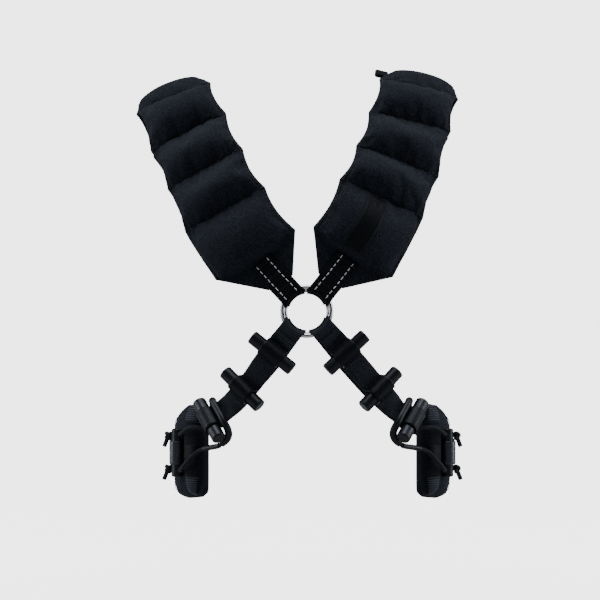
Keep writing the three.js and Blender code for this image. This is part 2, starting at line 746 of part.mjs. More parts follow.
function buildSideRod(sideName) {
  const rod = roundedRod(ROD.radius, ROD.length, ROD.round, ROD_SIDES.side);
  const centre = rodCentre(sideName, ROD.z);
  rod.translate(centre.x, centre.y, centre.z);
  let solid = toManifold(rod);
  for (const z of Object.values(rodHoleHeights())) {
    const drill = new THREE.CylinderGeometry(ROD_HOLE_RADIUS, ROD_HOLE_RADIUS, 4 * ROD.radius, DRILL_SIDES);
    const along = new THREE.Quaternion().setFromUnitVectors(vec(0, 1, 0), rodHoleDirection(sideName));
    const middle = rodCentre(sideName, z);
    drill.applyQuaternion(along).translate(middle.x, middle.y, middle.z);
    solid = solid.subtract(toManifold(drill));
  }
  addPart(`${sideName}_side_rod`, fromManifold(solid), "plastic");
}

// From the rear ring down the back to the side rod, along the side pad's outer face.
const REAR_STRAP_ON_BACK = [
  { spread: 49, y: 106, z: -315, normal: vec(0.1, 0.99, 0) },
  { spread: 95, y: 76, z: -362, normal: vec(0.5, 0.86, 0) },
];
const REAR_STRAP_ON_PAD = { fromAngle: 116, fromZ: -390, steps: 9 };
const REAR_FOLD = { over: 14, under: 10, step: 11 }; // the fold's two ends, from the ring's wire
const ROD_WRAP = { from: -60, to: 150, steps: 7, sewnAt: 15, end: 42 };

function buildRearStrap(sideName) {
  const side = SIDES[sideName];
  const back = REAR_STRAP_ON_BACK.map(({ spread, y, z, normal }) => {
    return { point: vec(WAIST.x / 2 + side * spread, y, z), normal: vec(side * normal.x, normal.y, 0) };
  });
  const { fromAngle, fromZ, steps } = REAR_STRAP_ON_PAD;
  const onPad = evenSteps(steps).map((t) => {
    const angle = THREE.MathUtils.lerp(fromAngle, ROD.angle, t);
    const z = THREE.MathUtils.lerp(fromZ, ROD.z, smooth(0, 0.6, t));
    return { point: waistPoint(sideName, angle, STRAP_ON_PAD, z), normal: waistNormal(sideName, angle) };
  });
  const offRing = ringStations(REAR_RING, back[0].point, vec(0, 1, 0));
  const route = makeRoute([...offRing, ...back, ...onPad], -side);
  const rodAt = route.total;
  const rodLift = WEB_THICK / 2 + GAP + ROD.radius;
  const upperLayer = WEB_THICK + LAYER_GAP;
  const sewnAt = [rodAt - ROD_WRAP.sewnAt, upperLayer];
  const path = [
    [RING_RADIUS + REAR_FOLD.over, WRAP_RADIUS - 1],
    ...RING_WRAP,
    ...straightPath([RING_RADIUS + REAR_FOLD.under, -1], [rodAt, 0], REAR_FOLD.step),
    ...arcPath([rodAt, rodLift], ROD_WRAP_RADIUS, ROD_WRAP.from, ROD_WRAP.to, ROD_WRAP.steps),
    ...slicedRamp([rodAt - ROD_WRAP_RADIUS, rodLift + 1.2], sewnAt, 5),
    ...slicedRamp(sewnAt, [rodAt - ROD_WRAP.end, upperLayer], 9),
  ];
  addPart(`${sideName}_rear_strap`, webbingGeometry(route, path, STRAP_WIDTH, 2), "webbing");
}

// ---------------------------------------------------------------- elastic loops

// The hose grip in the last toggle's frame: [along the strap, lift, across]. It starts behind the
// strap, crosses the front just above the toggle, and ends behind the toggle's lower tip.
const GRIP_ROUTE = [
  [7, -6.6, 7],
  [0, -6.8, 13],
  [-6.5, -4.5, 18],
  [-11.5, 0.8, 19.8],
  [-13.8, 6, 16.2],
  [-14.7, 7.5, 9.5],
  [-14.7, 7.6, 0],
  [-14.7, 7.5, -9.5],
  [-13.3, 5.8, -16.5],
  [-11, 1.2, -21.5],
  [-6.5, -3.2, -24.5],
  [0, -5, -25.5],
  [6, -5.2, -24.5],
];
const LOOP_STEPS = 14;
const LEG_STEPS = 16;
const CORD_SIDES = 8;
const LEG_START = [0.5, 4]; // from the hose's end along the cord
const ROD_CROSSING = [-1.8, -1].map((s) => s - ROD.radius); // before the hole, along it
const KNOT_OFF = 0.5; // between the rod or the cord's end and a knot
const KNOT_GRID = [9, 6];
const TAIL_LENGTH = 2.3 * KNOT_RADIUS;
const TAIL_DROP = { upper: -0.9, lower: -0.85 };
const LEG_OVER_TRIM = 5.6; // cord centre over the trim pouch

function gripPoints(sideName) {
  const route = lowerRoutes[sideName];
  const lastToggle = toggleMarks(route)[2];
  const centre = route.at(lastToggle, 0, 0);
  const along = route.directionAt(lastToggle);
  const lift = route.at(lastToggle, 1, 0).sub(centre);
  const across = route.at(lastToggle, 0, 1).sub(centre);
  return GRIP_ROUTE.map(([s, l, a]) => {
    return centre.clone().addScaledVector(along, s).addScaledVector(lift, l).addScaledVector(across, a);
  });
}

// A leg leaves the hose, crosses the trim pouch and goes through the side rod to its knot.
function legPoints(sideName, end, crossings) {
  const grip = gripPoints(sideName);
  const [tip, before] = end === "upper" ? [grip[0], grip[1]] : [grip.at(-1), grip.at(-2)];
  const outwards = tip.clone().sub(before).normalize();
  const hole = rodCentre(sideName, rodHoleHeights()[end]);
  const direction = rodHoleDirection(sideName);
  const overTrim = crossings.map(([u, v]) => {
    return trimPoint(sideName, u, v, trimThickness(u, v) + LEG_OVER_TRIM);
  });
  return [
    ...LEG_START.map((s) => tip.clone().addScaledVector(outwards, s)),
    ...overTrim,
    ...ROD_CROSSING.map((s) => hole.clone().addScaledVector(direction, s)),
    hole.clone(),
    hole.clone().addScaledVector(direction, ROD.radius + 0.6),
  ];
}

const LEG_CROSSINGS = {
  upper: [[0.3, 0.745], [0.65, 0.695], [0.86, 0.67], [1, 0.66]],
  lower: [[0.05, 0.5], [0.35, 0.4], [0.7, 0.305], [0.88, 0.28], [1, 0.27]],
};

function knotGeometry(centre, outwards, tailDirection) {
  const ball = new THREE.SphereGeometry(KNOT_RADIUS, ...KNOT_GRID);
  ball.translate(centre.x, centre.y, centre.z);
  const start = centre.clone().addScaledVector(outwards, KNOT_OFF);
  const line = [0, KNOT_RADIUS, TAIL_LENGTH].map((s) => start.clone().addScaledVector(tailDirection, s));
  const tail = cordGeometry(line, CORD_RADIUS, 3, CORD_SIDES);
  return fromManifold(toManifold(ball).add(toManifold(tail)));
}

function buildLoop(sideName) {
  const grip = gripPoints(sideName);
  const hose = cordGeometry(grip, HOSE_RADIUS, LOOP_STEPS, CORD_SIDES, HOSE_BORE);
  addPart(`${sideName}_grip_hose`, hose, "rubber");
  addPart(`${sideName}_loop_middle`, cordGeometry(grip, CORD_RADIUS, LOOP_STEPS, CORD_SIDES), "cord");
  for (const end of ["upper", "lower"]) {
    const points = legPoints(sideName, end, LEG_CROSSINGS[end]);
    const leg = cordGeometry(points, CORD_RADIUS, LEG_STEPS, CORD_SIDES);
    addPart(`${sideName}_loop_${end}_leg`, leg, "cord");
    const outwards = rodHoleDirection(sideName);
    const centre = points.at(-1).clone().addScaledVector(outwards, KNOT_RADIUS + KNOT_OFF);
    const tail = vec(SIDES[sideName] * 0.35, 0.2, TAIL_DROP[end]).normalize();
    addPart(`${sideName}_${end}_knot`, knotGeometry(centre, outwards, tail), "cord");
  }
}

// ---------------------------------------------------------------- label and corner loop

const LABEL = { inner: 0.33, outer: 0.56, start: LAST_STATION - 1.9, end: LAST_STATION - 0.98 };
const LABEL_LIFT = { under: 0.6, over: 1.2 };
const LABEL_STEPS = { along: 8, across: 3 };

function buildLabel() {
  const { point, top } = pads.right;
  const { along, across } = LABEL_STEPS;
  const rows = evenSteps(along).map((t) => THREE.MathUtils.lerp(LABEL.start, LABEL.end, t));
  const columns = evenSteps(across).map((t) => THREE.MathUtils.lerp(LABEL.inner, LABEL.outer, t));
  const face = (lift) => gridOf(rows, columns, (u, v) => point(u, v, top(u, v) + lift));
  addPart("right_pad_label", gridSolid(face(LABEL_LIFT.over), face(LABEL_LIFT.under)), "label");
}

const CORNER_LOOP = { station: REAR_SEAM_COUNT + 0.75, lift: 3, reach: 9, rise: 2.2, width: 10, off: 2 };

// A short folded webbing loop sewn to the inner edge of the right pad at its crest.
function buildCornerLoop() {
  const { point } = pads.right;
  const { station, lift, reach, rise, width, off } = CORNER_LOOP;
  const edge = point(0, station, lift);
  const away = edge.clone().sub(point(0.5, station, lift)).normalize();
  const shape = new THREE.Shape();
  shape.moveTo(0, -rise);
  shape.lineTo(reach - rise, -rise);
  shape.absarc(reach - rise, 0, rise, -Math.PI / 2, Math.PI / 2, false);
  shape.lineTo(0, rise);
  const settings = { depth: width, bevelEnabled: false, curveSegments: 3 };
  const geometry = new THREE.ExtrudeGeometry(shape, settings);
  geometry.rotateX(Math.PI / 2).translate(off, width / 2, 0);
  const loop = addPart("right_corner_loop", geometry, "webbing");
  loop.quaternion.setFromUnitVectors(vec(1, 0, 0), away);
  loop.position.copy(edge);
}

// ---------------------------------------------------------------- assembly

buildRing("front_ring", FRONT_RING);
buildRing("rear_ring", REAR_RING);
for (const sideName of Object.keys(SIDES)) {
  buildPad(sideName);
  buildShotBags(sideName);
  buildTab(sideName, "front");
  buildTab(sideName, "rear");
  buildLowerStrap(sideName);
  buildSidePad(sideName);
  buildTrimWeight(sideName);
  buildSideRod(sideName);
  buildRearStrap(sideName);
  buildLoop(sideName);
}
buildLabel();
buildCornerLoop();

export default harness;
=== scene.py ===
# A weighted chest harness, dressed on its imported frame.
# Lengths are in millimetres up to make_object, which turns them into metres.
import math

import bmesh
import bpy
import numpy as np
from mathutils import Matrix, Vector
from mathutils.bvhtree import BVHTree


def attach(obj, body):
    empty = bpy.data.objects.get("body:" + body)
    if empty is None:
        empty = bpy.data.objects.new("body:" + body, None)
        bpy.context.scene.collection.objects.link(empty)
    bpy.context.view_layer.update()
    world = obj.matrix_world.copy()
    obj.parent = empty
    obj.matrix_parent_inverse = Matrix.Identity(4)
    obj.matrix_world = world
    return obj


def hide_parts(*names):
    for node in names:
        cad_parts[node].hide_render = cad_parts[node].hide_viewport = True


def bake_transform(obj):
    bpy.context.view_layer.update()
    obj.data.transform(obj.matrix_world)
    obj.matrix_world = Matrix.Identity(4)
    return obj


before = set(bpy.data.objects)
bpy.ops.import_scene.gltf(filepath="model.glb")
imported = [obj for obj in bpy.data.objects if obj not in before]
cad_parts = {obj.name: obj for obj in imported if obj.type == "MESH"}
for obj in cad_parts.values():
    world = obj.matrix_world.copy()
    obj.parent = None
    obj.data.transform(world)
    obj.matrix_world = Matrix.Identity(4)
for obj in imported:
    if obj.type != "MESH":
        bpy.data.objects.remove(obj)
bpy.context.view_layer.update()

MM = 0.001
SIDES = {"left": -1, "right": 1}
DICE = np.random.RandomState(7)


# ---------------------------------------------------------------- camera

def make_camera():
    """Level with the ring, two metres in front of it."""
    data = bpy.data.cameras.new("camera")
    data.lens = 114.3
    data.sensor_width = 36
    camera = bpy.data.objects.new("camera", data)
    camera.location = (-0.007, -2.115, -0.239)
    camera.rotation_euler = (math.radians(90), 0, 0)
    bpy.context.scene.collection.objects.link(camera)
    bpy.context.scene.camera = camera


make_camera()

# ---------------------------------------------------------------- dimensions of the frame

FRONT_RING = np.array([0, -115, -251.0])
REAR_RING = np.array([1, 118, -253.0])
RING_RADIUS = 25.4
WIRE_RADIUS = 2.5
STRAP_WIDTH = 25
TAB_WIDTH = 27
WEB_THICK = 1.6
GAP = 0.35
LAYER_GAP = 0.3  # between two layers of the same strap

FRONT_SEAMS = {  # inner and outer end of each quilting seam, from the crest to the end panel's corners
    "left": [
        ((-105, -28, -1), (-186, -15, -32)),
        ((-87, -62, -37), (-169, -45, -78)),
        ((-68, -92, -78), (-149, -68, -121)),
        ((-44, -110, -120), (-129, -88, -167)),
        ((-12, -117, -165), (-96, -106, -218)),
    ],
    "right": [
        ((80, -28, 3), (166, -15, -15)),
        ((67, -62, -36), (157, -45, -56)),
        ((53, -92, -74), (142, -68, -107)),
        ((35, -110, -111), (124, -88, -152)),
        ((7, -117, -162), (91, -106, -215)),
    ],
}
REAR_SEAM_COUNT = 4
REAR_SPREAD = 4
FRONT_TIP_REACH = 40.5
REAR_TIP_REACH = 96
TIP_HALF_WIDTH = 15
PAD_PUFF = 17
CREST_PUFF = 14
BODY_PUFF = 3
SEAM_SCALLOP = 4
PANEL_PUFF_END = 0.573
FILL_EASE = 0.6
EDGE_FALL = (2.4, 0.65)

CLOTH_RISE = 1.4  # the pad's skin from its seam line, on the outside and on the wearer's side
CLOTH_DROP = 2.2
SETTLE = 1.25  # how far the shot has settled towards a channel's lower seam
SWELL = 3.0  # what the simulation adds to a channel's height
SIM_FRAMES = 20
PRESSURE = 4.5
SHRINK = -0.05
PAD_ROW_STEPS = 18
PAD_COLUMNS = 30
GATHERS = ((15.0, 0.35), (9.5, 0.3), (6.5, 0.2))  # pitch and height of the puckers beside a seam
GATHER_REACH = 9.0

WRAP_RADIUS = WIRE_RADIUS + 0.45 + WEB_THICK / 2
FRONT_TAB_ENDS = (70.5, 62)
TAB_CLEARANCE = 1.15
TAB_PARTING = RING_RADIUS + 8
REAR_TAB_GRIP = 32
TRACER = {"across": 7.3, "dash": 4.4, "period": 5.9, "radius": 0.44}
RING_APPROACH = (0, RING_RADIUS - 9, RING_RADIUS + 4, RING_RADIUS + 11)
WEB_COLUMNS = 14
WEB_RING = 2 * (WEB_COLUMNS + 1)  # points round a strap's section

TOGGLE_RADIUS = 7.4
TOGGLE_LENGTH = 55
TOGGLE_ROUND = 1.8
LOWER_STRAP = [  # lean, spread, y, z and the normal's three parts
    (2.6, 37.9, -113.2, -294.3, (-0.1, -0.99, 0.04)),
    (5, 70.2, -104.7, -333.3, (-0.35, -0.93, 0.08)),
    (4.5, 103.4, -95.7, -368.3, (-0.69, -0.7, 0.2)),
    (4.5, 117, -86.3, -379.5, (-0.69, -0.7, 0.2)),
]
STRAIGHT_REACH = 13
LAYER_LIFT = WEB_THICK / 2 + LAYER_GAP
TOGGLE_LIFT = -LAYER_LIFT + WEB_THICK / 2 + GAP + TOGGLE_RADIUS
SLEEVE_RADIUS = TOGGLE_RADIUS + GAP + WEB_THICK / 2 + LAYER_GAP
SLEEVE_REACH = 10.2
FOLD_END = RING_RADIUS + 17
FOLD_GROOVE = RING_RADIUS + 8.5  # where the fold is sewn down
ZIGZAG_REACH = 12.6  # from a toggle's centre to the stitches beside it

WAIST_X = 6.5
WAIST_HALF = (143.5, 92)
SIDE_PAD_THICK = 10
TRIM = {"angle": 54, "half_width": 15, "top": -350.5, "bottom": -449.5, "thick": 14.5, "edge": 6}
ROD = {"angle": 65.5, "radius": 6.5, "length": 52, "z": -404.5, "round": 1.4, "hole_inset": 8}
ROD_HOLE_RADIUS = 3.1
CORD_RADIUS = 2.5
HOSE_RADIUS = 4
HOSE_BORE = 2.9
KNOT_RADIUS = 5.6

SIDE_PAD_OUTLINE = np.array([  # the waist angle, and the pad's top and bottom there
    (50, -357, -446), (54, -352, -452), (66, -353, -455),
    (80, -365, -453), (96, -380, -437), (112, -390, -420)], float)
ARC_LENGTH = 2.32  # millimetres for each degree of the waist
TRIM_BASE = SIDE_PAD_THICK + GAP
ELASTIC_HEIGHT = 19
STRAP_ON_PAD = SIDE_PAD_THICK + 2 * GAP + WEB_THICK / 2
ROD_LIFT = STRAP_ON_PAD + WEB_THICK / 2 + GAP + ROD["radius"]
ROD_WRAP_RADIUS = ROD["radius"] + GAP + WEB_THICK / 2 + 0.5

REAR_STRAP = ((49, 106, -315, 0.1, 0.99), (95, 76, -362, 0.5, 0.86))  # spread, y, z, normal
REAR_STRAP_ON_PAD = {"angle": 116, "z": -390}

GRIP_ROUTE = [  # along the strap, lift and across, from the last toggle
    (7, -6.6, 7), (0, -6.8, 13), (-6.5, -4.5, 18), (-11.5, 0.8, 19.8), (-13.8, 6, 16.2), (-14.7, 7.5, 9.5),
    (-14.7, 7.6, 0), (-14.7, 7.5, -9.5), (-13.3, 5.8, -16.5), (-11, 1.2, -21.5), (-6.5, -3.2, -24.5),
    (0, -5, -25.5), (6, -5.2, -24.5)]
LEG_OVER_TRIM = 5.6
LEG_CROSSINGS = {
    "upper": ((0.3, 0.745), (0.65, 0.695), (0.86, 0.67), (1, 0.66)),
    "lower": ((0.05, 0.5), (0.35, 0.4), (0.7, 0.305), (0.88, 0.28), (1, 0.27))}
LEG_POINTS = 150
BLEND_FROM, BLEND_TO, SLEEVE_TO = 4, 62, 44  # places among a leg's points
TAIL_DROP = {"upper": -0.9, "lower": -0.85}

FLOOR = -560
STAGE_RADIUS = 60000
FLOOR_GLOW = 3.3
BACKDROP = 3.75

# ---------------------------------------------------------------- small tools

def vec(x, y, z):
    return np.array([x, y, z], float)


def unit(v):
    return v / np.linalg.norm(v, axis=-1, keepdims=True)


def lerp(a, b, t):
    return a + (b - a) * t


def smooth(start, end, value):
    t = np.clip((value - start) / (end - start), 0, 1)
    return t * t * (3 - 2 * t)


def eased(count):
    """count + 1 numbers from 0 to 1, closer together at both ends."""
    return (1 - np.cos(np.linspace(0, math.pi, count + 1))) / 2


def grid(count, ease):
    """From 0 to 1 like eased(), but only partly closer together at the ends."""
    return lerp(eased(count), np.linspace(0, 1, count + 1), ease)


def bulge(t, square, ease):
    """From 0 at both ends of t to 1 between them."""
    return (1 - np.abs(2 * np.asarray(t) - 1) ** square) ** ease


def quarter_round(t):
    """From 0 to 1 along a quarter of a circle."""
    return np.sqrt(1 - (1 - np.clip(t, 0, 1)) ** 2)


def catmull(points, t):
    """A centripetal Catmull-Rom curve through the points; t runs from 0 to len(points) - 1."""
    points = np.asarray(points, float)
    t = np.atleast_1d(np.asarray(t, float))
    ends = np.vstack([2 * points[0] - points[1], points, 2 * points[-1] - points[-2]])
    k = np.clip(np.floor(t).astype(int), 0, len(points) - 2)
    w = (t - k)[:, None]
    p0, p1, p2, p3 = (ends[k + i] for i in range(4))
    spans = ((p0, p1), (p1, p2), (p2, p3))
    d0, d1, d2 = (np.sqrt(np.linalg.norm(b - a, axis=1))[:, None] for a, b in spans)
    m1 = ((p1 - p0) / d0 - (p2 - p0) / (d0 + d1) + (p2 - p1) / d1) * d1
    m2 = ((p2 - p1) / d1 - (p3 - p1) / (d1 + d2) + (p3 - p2) / d2) * d1
    return p1 + m1 * w + (3 * (p2 - p1) - 2 * m1 - m2) * w**2 + (2 * (p1 - p2) + m1 + m2) * w**3


def lengths_of(points):
    """Distance along a line of points."""
    return np.concatenate([[0], np.cumsum(np.linalg.norm(np.diff(points, axis=0), axis=1))])


# ---------------------------------------------------------------- meshes

def make_object(name, points, faces, material, loop_uvs=None):
    mesh = bpy.data.meshes.new(name)
    mesh.from_pydata([tuple(p) for p in np.asarray(points) * MM], [], [tuple(f) for f in faces])
    mesh.validate()
    if loop_uvs is not None:
        layer = mesh.uv_layers.new(name="cloth")
        layer.data.foreach_set("uv", np.asarray(loop_uvs, float).ravel())
    mesh.shade_smooth()
    mesh.materials.append(material)
    obj = bpy.data.objects.new(name, mesh)
    bpy.context.scene.collection.objects.link(obj)
    return obj


def wrapped(name, rings, along, around, material, closed=False):
    """A skin over rings of points, capped at its ends or joined into a loop. along has a cloth
    coordinate for each ring, and around has one more of them than a ring has points."""
    rings = np.asarray(rings, float)
    count, size = rings.shape[:2]
    uv = np.stack(np.broadcast_arrays(along[:, None], around[None, :]), axis=-1)
    faces, uvs = [], []
    for r in range(count if closed else count - 1):
        m = (r + 1) % count
        for c in range(size):
            n = (c + 1) % size
            faces.append((r * size + c, r * size + n, m * size + n, m * size + c))
            uvs += [uv[r][c], uv[r][c + 1], uv[m][c + 1], uv[m][c]]
    for r, order in () if closed else ((0, range(size - 1, -1, -1)), (count - 1, range(size))):
        faces.append([r * size + c for c in order])
        uvs += [uv[r][c] for c in order]
    obj = make_object(name, rings.reshape(-1, 3), faces, material, uvs)
    face_outwards(obj)
    return obj


def two_sided(widths, gap):
    """Cloth coordinates round a flat skin: across its face, and back across its underside."""
    return np.append(np.concatenate([widths, gap + widths]), 2 * gap)


def face_outwards(obj):
    mesh = bmesh.new()
    mesh.from_mesh(obj.data)
    if mesh.calc_volume(signed=True) < 0:
        bmesh.ops.reverse_faces(mesh, faces=mesh.faces)
        mesh.to_mesh(obj.data)
    mesh.free()


def turns(count):
    return np.linspace(0, 2 * math.pi, count, endpoint=False)


def frames_along(line):
    """Two directions square to a line at each of its points, turning as little as possible."""
    tangents = unit(np.gradient(line, axis=0))
    side = unit(np.cross(tangents[0], vec(0.31, 0.87, 0.38)))
    sides = []
    for tangent in tangents:
        side = unit(side - tangent * side.dot(tangent))
        sides.append(side)
    sides = np.array(sides)
    return sides, np.cross(tangents, sides)


def tube(name, line, radius, material, sides=20, shape=None):
    """A round skin along a line; shape(s, turn) scales the radius at s millimetres along."""
    line = np.asarray(line, float)
    a, b = frames_along(line)
    s = lengths_of(line)
    turn = turns(sides)
    radii = np.full((len(line), sides), float(radius))
    if shape:
        radii *= shape(s[:, None], turn[None, :])
    rings = line[:, None] + radii[..., None] * (
        a[:, None] * np.cos(turn)[None, :, None] + b[:, None] * np.sin(turn)[None, :, None])
    around = np.linspace(0, 2 * math.pi * radius, sides + 1)
    return wrapped(name, rings, s, around, material)


def lathe(name, profile, centre, axis, material, sides=48):
    """A solid of revolution; profile is a list of (radius, height) along the axis."""
    axis = unit(np.asarray(axis, float))
    a = unit(np.cross(axis, vec(0.2, 0.9, 0.4)))
    b = np.cross(axis, a)
    turn = turns(sides)
    ring = a * np.cos(turn)[:, None] + b * np.sin(turn)[:, None]
    rings = [centre + axis * height + ring * radius for radius, height in profile]
    around = np.linspace(0, 2 * math.pi * max(r for r, _ in profile), sides + 1)
    return wrapped(name, rings, np.array([h for _, h in profile]), around, material)


def stitches(name, dashes, radius, material):
    """Thread dashes; each is (start, end, outwards), and dips into the cloth at both ends."""
    sides = 6
    turn = turns(sides)
    rows = ((0, 0.3, -0.9), (0.14, 0.9, 0.1), (0.5, 1, 0.35), (0.86, 0.9, 0.1), (1, 0.3, -0.9))
    points, faces = [], []
    for start, end, outwards in dashes:
        along = unit(end - start)
        up = unit(outwards - along * outwards.dot(along))
        side = np.cross(along, up)
        first = len(points)
        for t, scale, rise in rows:
            centre = lerp(start, end, t) + up * radius * rise
            points += [centre + radius * scale * (side * math.cos(q) + up * math.sin(q)) for q in turn]
        for r in range(len(rows) - 1):
            for c in range(sides):
                n = (c + 1) % sides
                at = first + r * sides
                faces.append((at + c, at + n, at + sides + n, at + sides + c))
        faces.append([first + c for c in range(sides - 1, -1, -1)])
        faces.append([first + (len(rows) - 1) * sides + c for c in range(sides)])
    return make_object(name, points, faces, material)


def subdivide(obj):
    modifier = obj.modifiers.new("soften", "SUBSURF")
    modifier.levels = 1
    modifier.render_levels = 1
    apply_modifiers(obj)


def apply_modifiers(obj):
    graph = bpy.context.evaluated_depsgraph_get()
    mesh = bpy.data.meshes.new_from_object(obj.evaluated_get(graph))
    obj.modifiers.clear()
    obj.data = mesh


def ride_on(obj, body, slot, *nodes):
    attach(obj, body)
    if nodes:
        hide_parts(*nodes)


def sew(name, dashes, radius, body, slot):
    """Rows of black stitches on a body."""
    ride_on(stitches(name, dashes, radius, LOOKS["thread"]), body, slot)


# ---------------------------------------------------------------- materials

def grey(value):
    return (value,) * 3


def scaled(colour, factor):
    return tuple(v * factor for v in colour)


COOL_SHEEN = (0.7, 0.82, 1, 1)


class Recipe:
    """A node material: one shader, with helpers that add nodes and link them."""

    def __init__(self, name, **values):
        self.material = bpy.data.materials.new(name)
        self.material.use_nodes = True
        self.nodes = self.material.node_tree.nodes
        self.links = self.material.node_tree.links
        self.shader = self.nodes["Principled BSDF"]
        self.shader.inputs["Specular Tint"].default_value = (0.76, 0.84, 1, 1)
        for key, value in values.items():
            self.shader.inputs[key.replace("_", " ")].default_value = value

    def add(self, kind, inputs=(), **settings):
        node = self.nodes.new(kind)
        for key, value in settings.items():
            setattr(node, key, value)
        for key, value in dict(inputs).items():
            if isinstance(value, bpy.types.NodeSocket):
                self.links.new(value, node.inputs[key])
            else:
                node.inputs[key].default_value = value
        return node

    def maths(self, operation, a, b=0.0):
        return self.add("ShaderNodeMath", {0: a, 1: b}, operation=operation).outputs[0]

    def wave(self, value, pitch):
        """From 0 to 1 and back once for each pitch of value."""
        phase = self.maths("MULTIPLY", value, 2 * math.pi / pitch)
        return self.maths("ADD", self.maths("MULTIPLY", self.maths("SINE", phase), 0.5), 0.5)

    def cloth(self):
        """The cloth coordinates: millimetres along and across."""
        uv = self.add("ShaderNodeUVMap", uv_map="cloth").outputs[0]
        return self.add("ShaderNodeSeparateXYZ", {0: uv}).outputs[:2]

    def place(self):
        return self.add("ShaderNodeTexCoord").outputs["Object"]

    def noise(self, at, scale, detail=3.0, roughness=0.55):
        node = self.add("ShaderNodeTexNoise",
                        {"Vector": at, "Scale": scale, "Detail": detail, "Roughness": roughness})
        return node.outputs["Fac"]

    def ramp(self, value, *stops):
        node = self.add("ShaderNodeValToRGB", {0: value})
        ramp = node.color_ramp
        while len(ramp.elements) < len(stops):
            ramp.elements.new(0.5)
        for element, (position, colour) in zip(ramp.elements, stops):
            element.position = position
            element.color = (*colour, 1) if len(colour) == 3 else colour
        return node.outputs[0]

    def mix(self, factor, a, b, way="MIX"):
        node = self.add("ShaderNodeMix", {0: factor}, data_type="RGBA", blend_type=way)
        for socket, value in ((node.inputs[6], a), (node.inputs[7], b)):
            if isinstance(value, bpy.types.NodeSocket):
                self.links.new(value, socket)
            else:
                socket.default_value = (*value, 1)
        return node.outputs[2]

    def set(self, name, output):
        self.links.new(output, self.shader.inputs[name])

    def bump(self, *layers):
        """Layers are (height, strength, distance in metres), coarse first."""
        normal = None
        for height, strength, distance in layers:
            inputs = {"Height": height, "Strength": strength, "Distance": distance}
            if normal is not None:
                inputs["Normal"] = normal
            normal = self.add("ShaderNodeBump", inputs).outputs[0]
        self.set("Normal", normal)


def pad_fabric(name, pitch, light):
    """Black woven nylon with a plain weave, creases and slightly rubbed patches at random."""
    made = Recipe(name, Roughness=0.8, Sheen_Weight=0.03, Sheen_Roughness=0.4,
                  Sheen_Tint=COOL_SHEEN, Specular_IOR_Level=0.08)
    along, across = made.cloth()
    at = made.place()
    warp = made.wave(along, pitch)
    weft = made.wave(across, pitch)
    checks = made.maths("ABSOLUTE", made.maths("SUBTRACT", warp, weft))
    raised = made.maths("MAXIMUM", warp, weft)
    threads = made.maths("MULTIPLY", raised, made.maths("ADD", checks, 0.4))
    fuzz = made.noise(at, 900, 2)
    creases = made.noise(at, 55, 4, 0.6)
    patches = made.noise(at, 14, 3)
    dark = scaled((0.0024, 0.003, 0.0046), light)
    pale = scaled((0.019, 0.0235, 0.033), light)
    colour = made.ramp(threads, (0.15, dark), (0.95, pale))
    specks = made.ramp(made.noise(at, 650, 1), (0.35, grey(0.45)), (0.7, grey(1.5)))
    colour = made.mix(1.0, colour, specks, "MULTIPLY")
    rubbed = made.maths("MULTIPLY", patches, 0.35)
    made.set("Base Color", made.mix(rubbed, colour, (0.009, 0.0105, 0.014)))
    made.set("Roughness", made.ramp(fuzz, (0.3, grey(0.7)), (0.7, grey(0.9))))
    made.bump((creases, 0.3, 0.0012), (threads, 0.6, 0.0004), (fuzz, 0.3, 0.0003))
    return made.material


def webbing_cloth(name, pitch, light, rough=0.55, gloss=0.14, relief=0.75):
    """Nylon webbing with ribs across it and fine lengthwise threads."""
    made = Recipe(name, Sheen_Weight=0.02, Sheen_Roughness=0.35, Sheen_Tint=COOL_SHEEN,
                  Specular_IOR_Level=gloss)
    along, across = made.cloth()
    at = made.place()
    ribs = made.wave(along, pitch)
    ends = made.wave(across, 1.0)
    fuzz = made.noise(at, 700, 2)
    wear = made.noise(at, 30, 3)
    height = made.maths("ADD", ribs, made.maths("MULTIPLY", ends, 0.25))
    # light scales the colour; the copy on the sleeves over the toggles uses it to darken the webbing as
    # painted shade, and the copy on the rod wrap uses it to lighten the webbing as painted light.
    dark = scaled((0.0015, 0.0019, 0.003), light)
    pale = scaled((0.026, 0.031, 0.041), light)
    colour = made.ramp(height, (0.35, dark), (1.0, pale))
    worn = scaled((0.01, 0.012, 0.016), light)
    made.set("Base Color", made.mix(made.maths("MULTIPLY", wear, 0.25), colour, worn))
    made.set("Roughness", made.ramp(fuzz, (0.3, grey(rough)), (0.75, grey(rough + 0.2))))
    made.bump((height, relief, 0.00032), (fuzz, 0.2, 0.00015))
    return made.material


def steel_wire():
    """Polished stainless wire with fine scratches along it."""
    made = Recipe("steel", Specular_Tint=(1, 1, 1, 1), Base_Color=(0.42, 0.43, 0.45, 1),
                  Metallic=1.0, Roughness=0.08)
    at = made.place()
    haze = made.noise(at, 60, 4)
    lines = made.noise(at, 1800, 2)
    made.set("Roughness", made.ramp(haze, (0.35, grey(0.05)), (0.75, grey(0.16))))
    made.bump((lines, 0.05, 0.00005))
    return made.material


def moulded(name, colour, low, high, grain):
    """Smooth plastic or rubber with faint handling marks."""
    made = Recipe(name, Specular_IOR_Level=0.24)
    at = made.place()
    marks = made.noise(at, 90, 4)
    fine = made.noise(at, grain, 2)
    made.set("Base Color", made.ramp(marks, (0.3, scaled(colour, 0.75)), (0.7, colour)))
    made.set("Roughness", made.ramp(marks, (0.3, grey(low)), (0.75, grey(high))))
    made.bump((fine, 0.12, 0.0001))
    return made.material


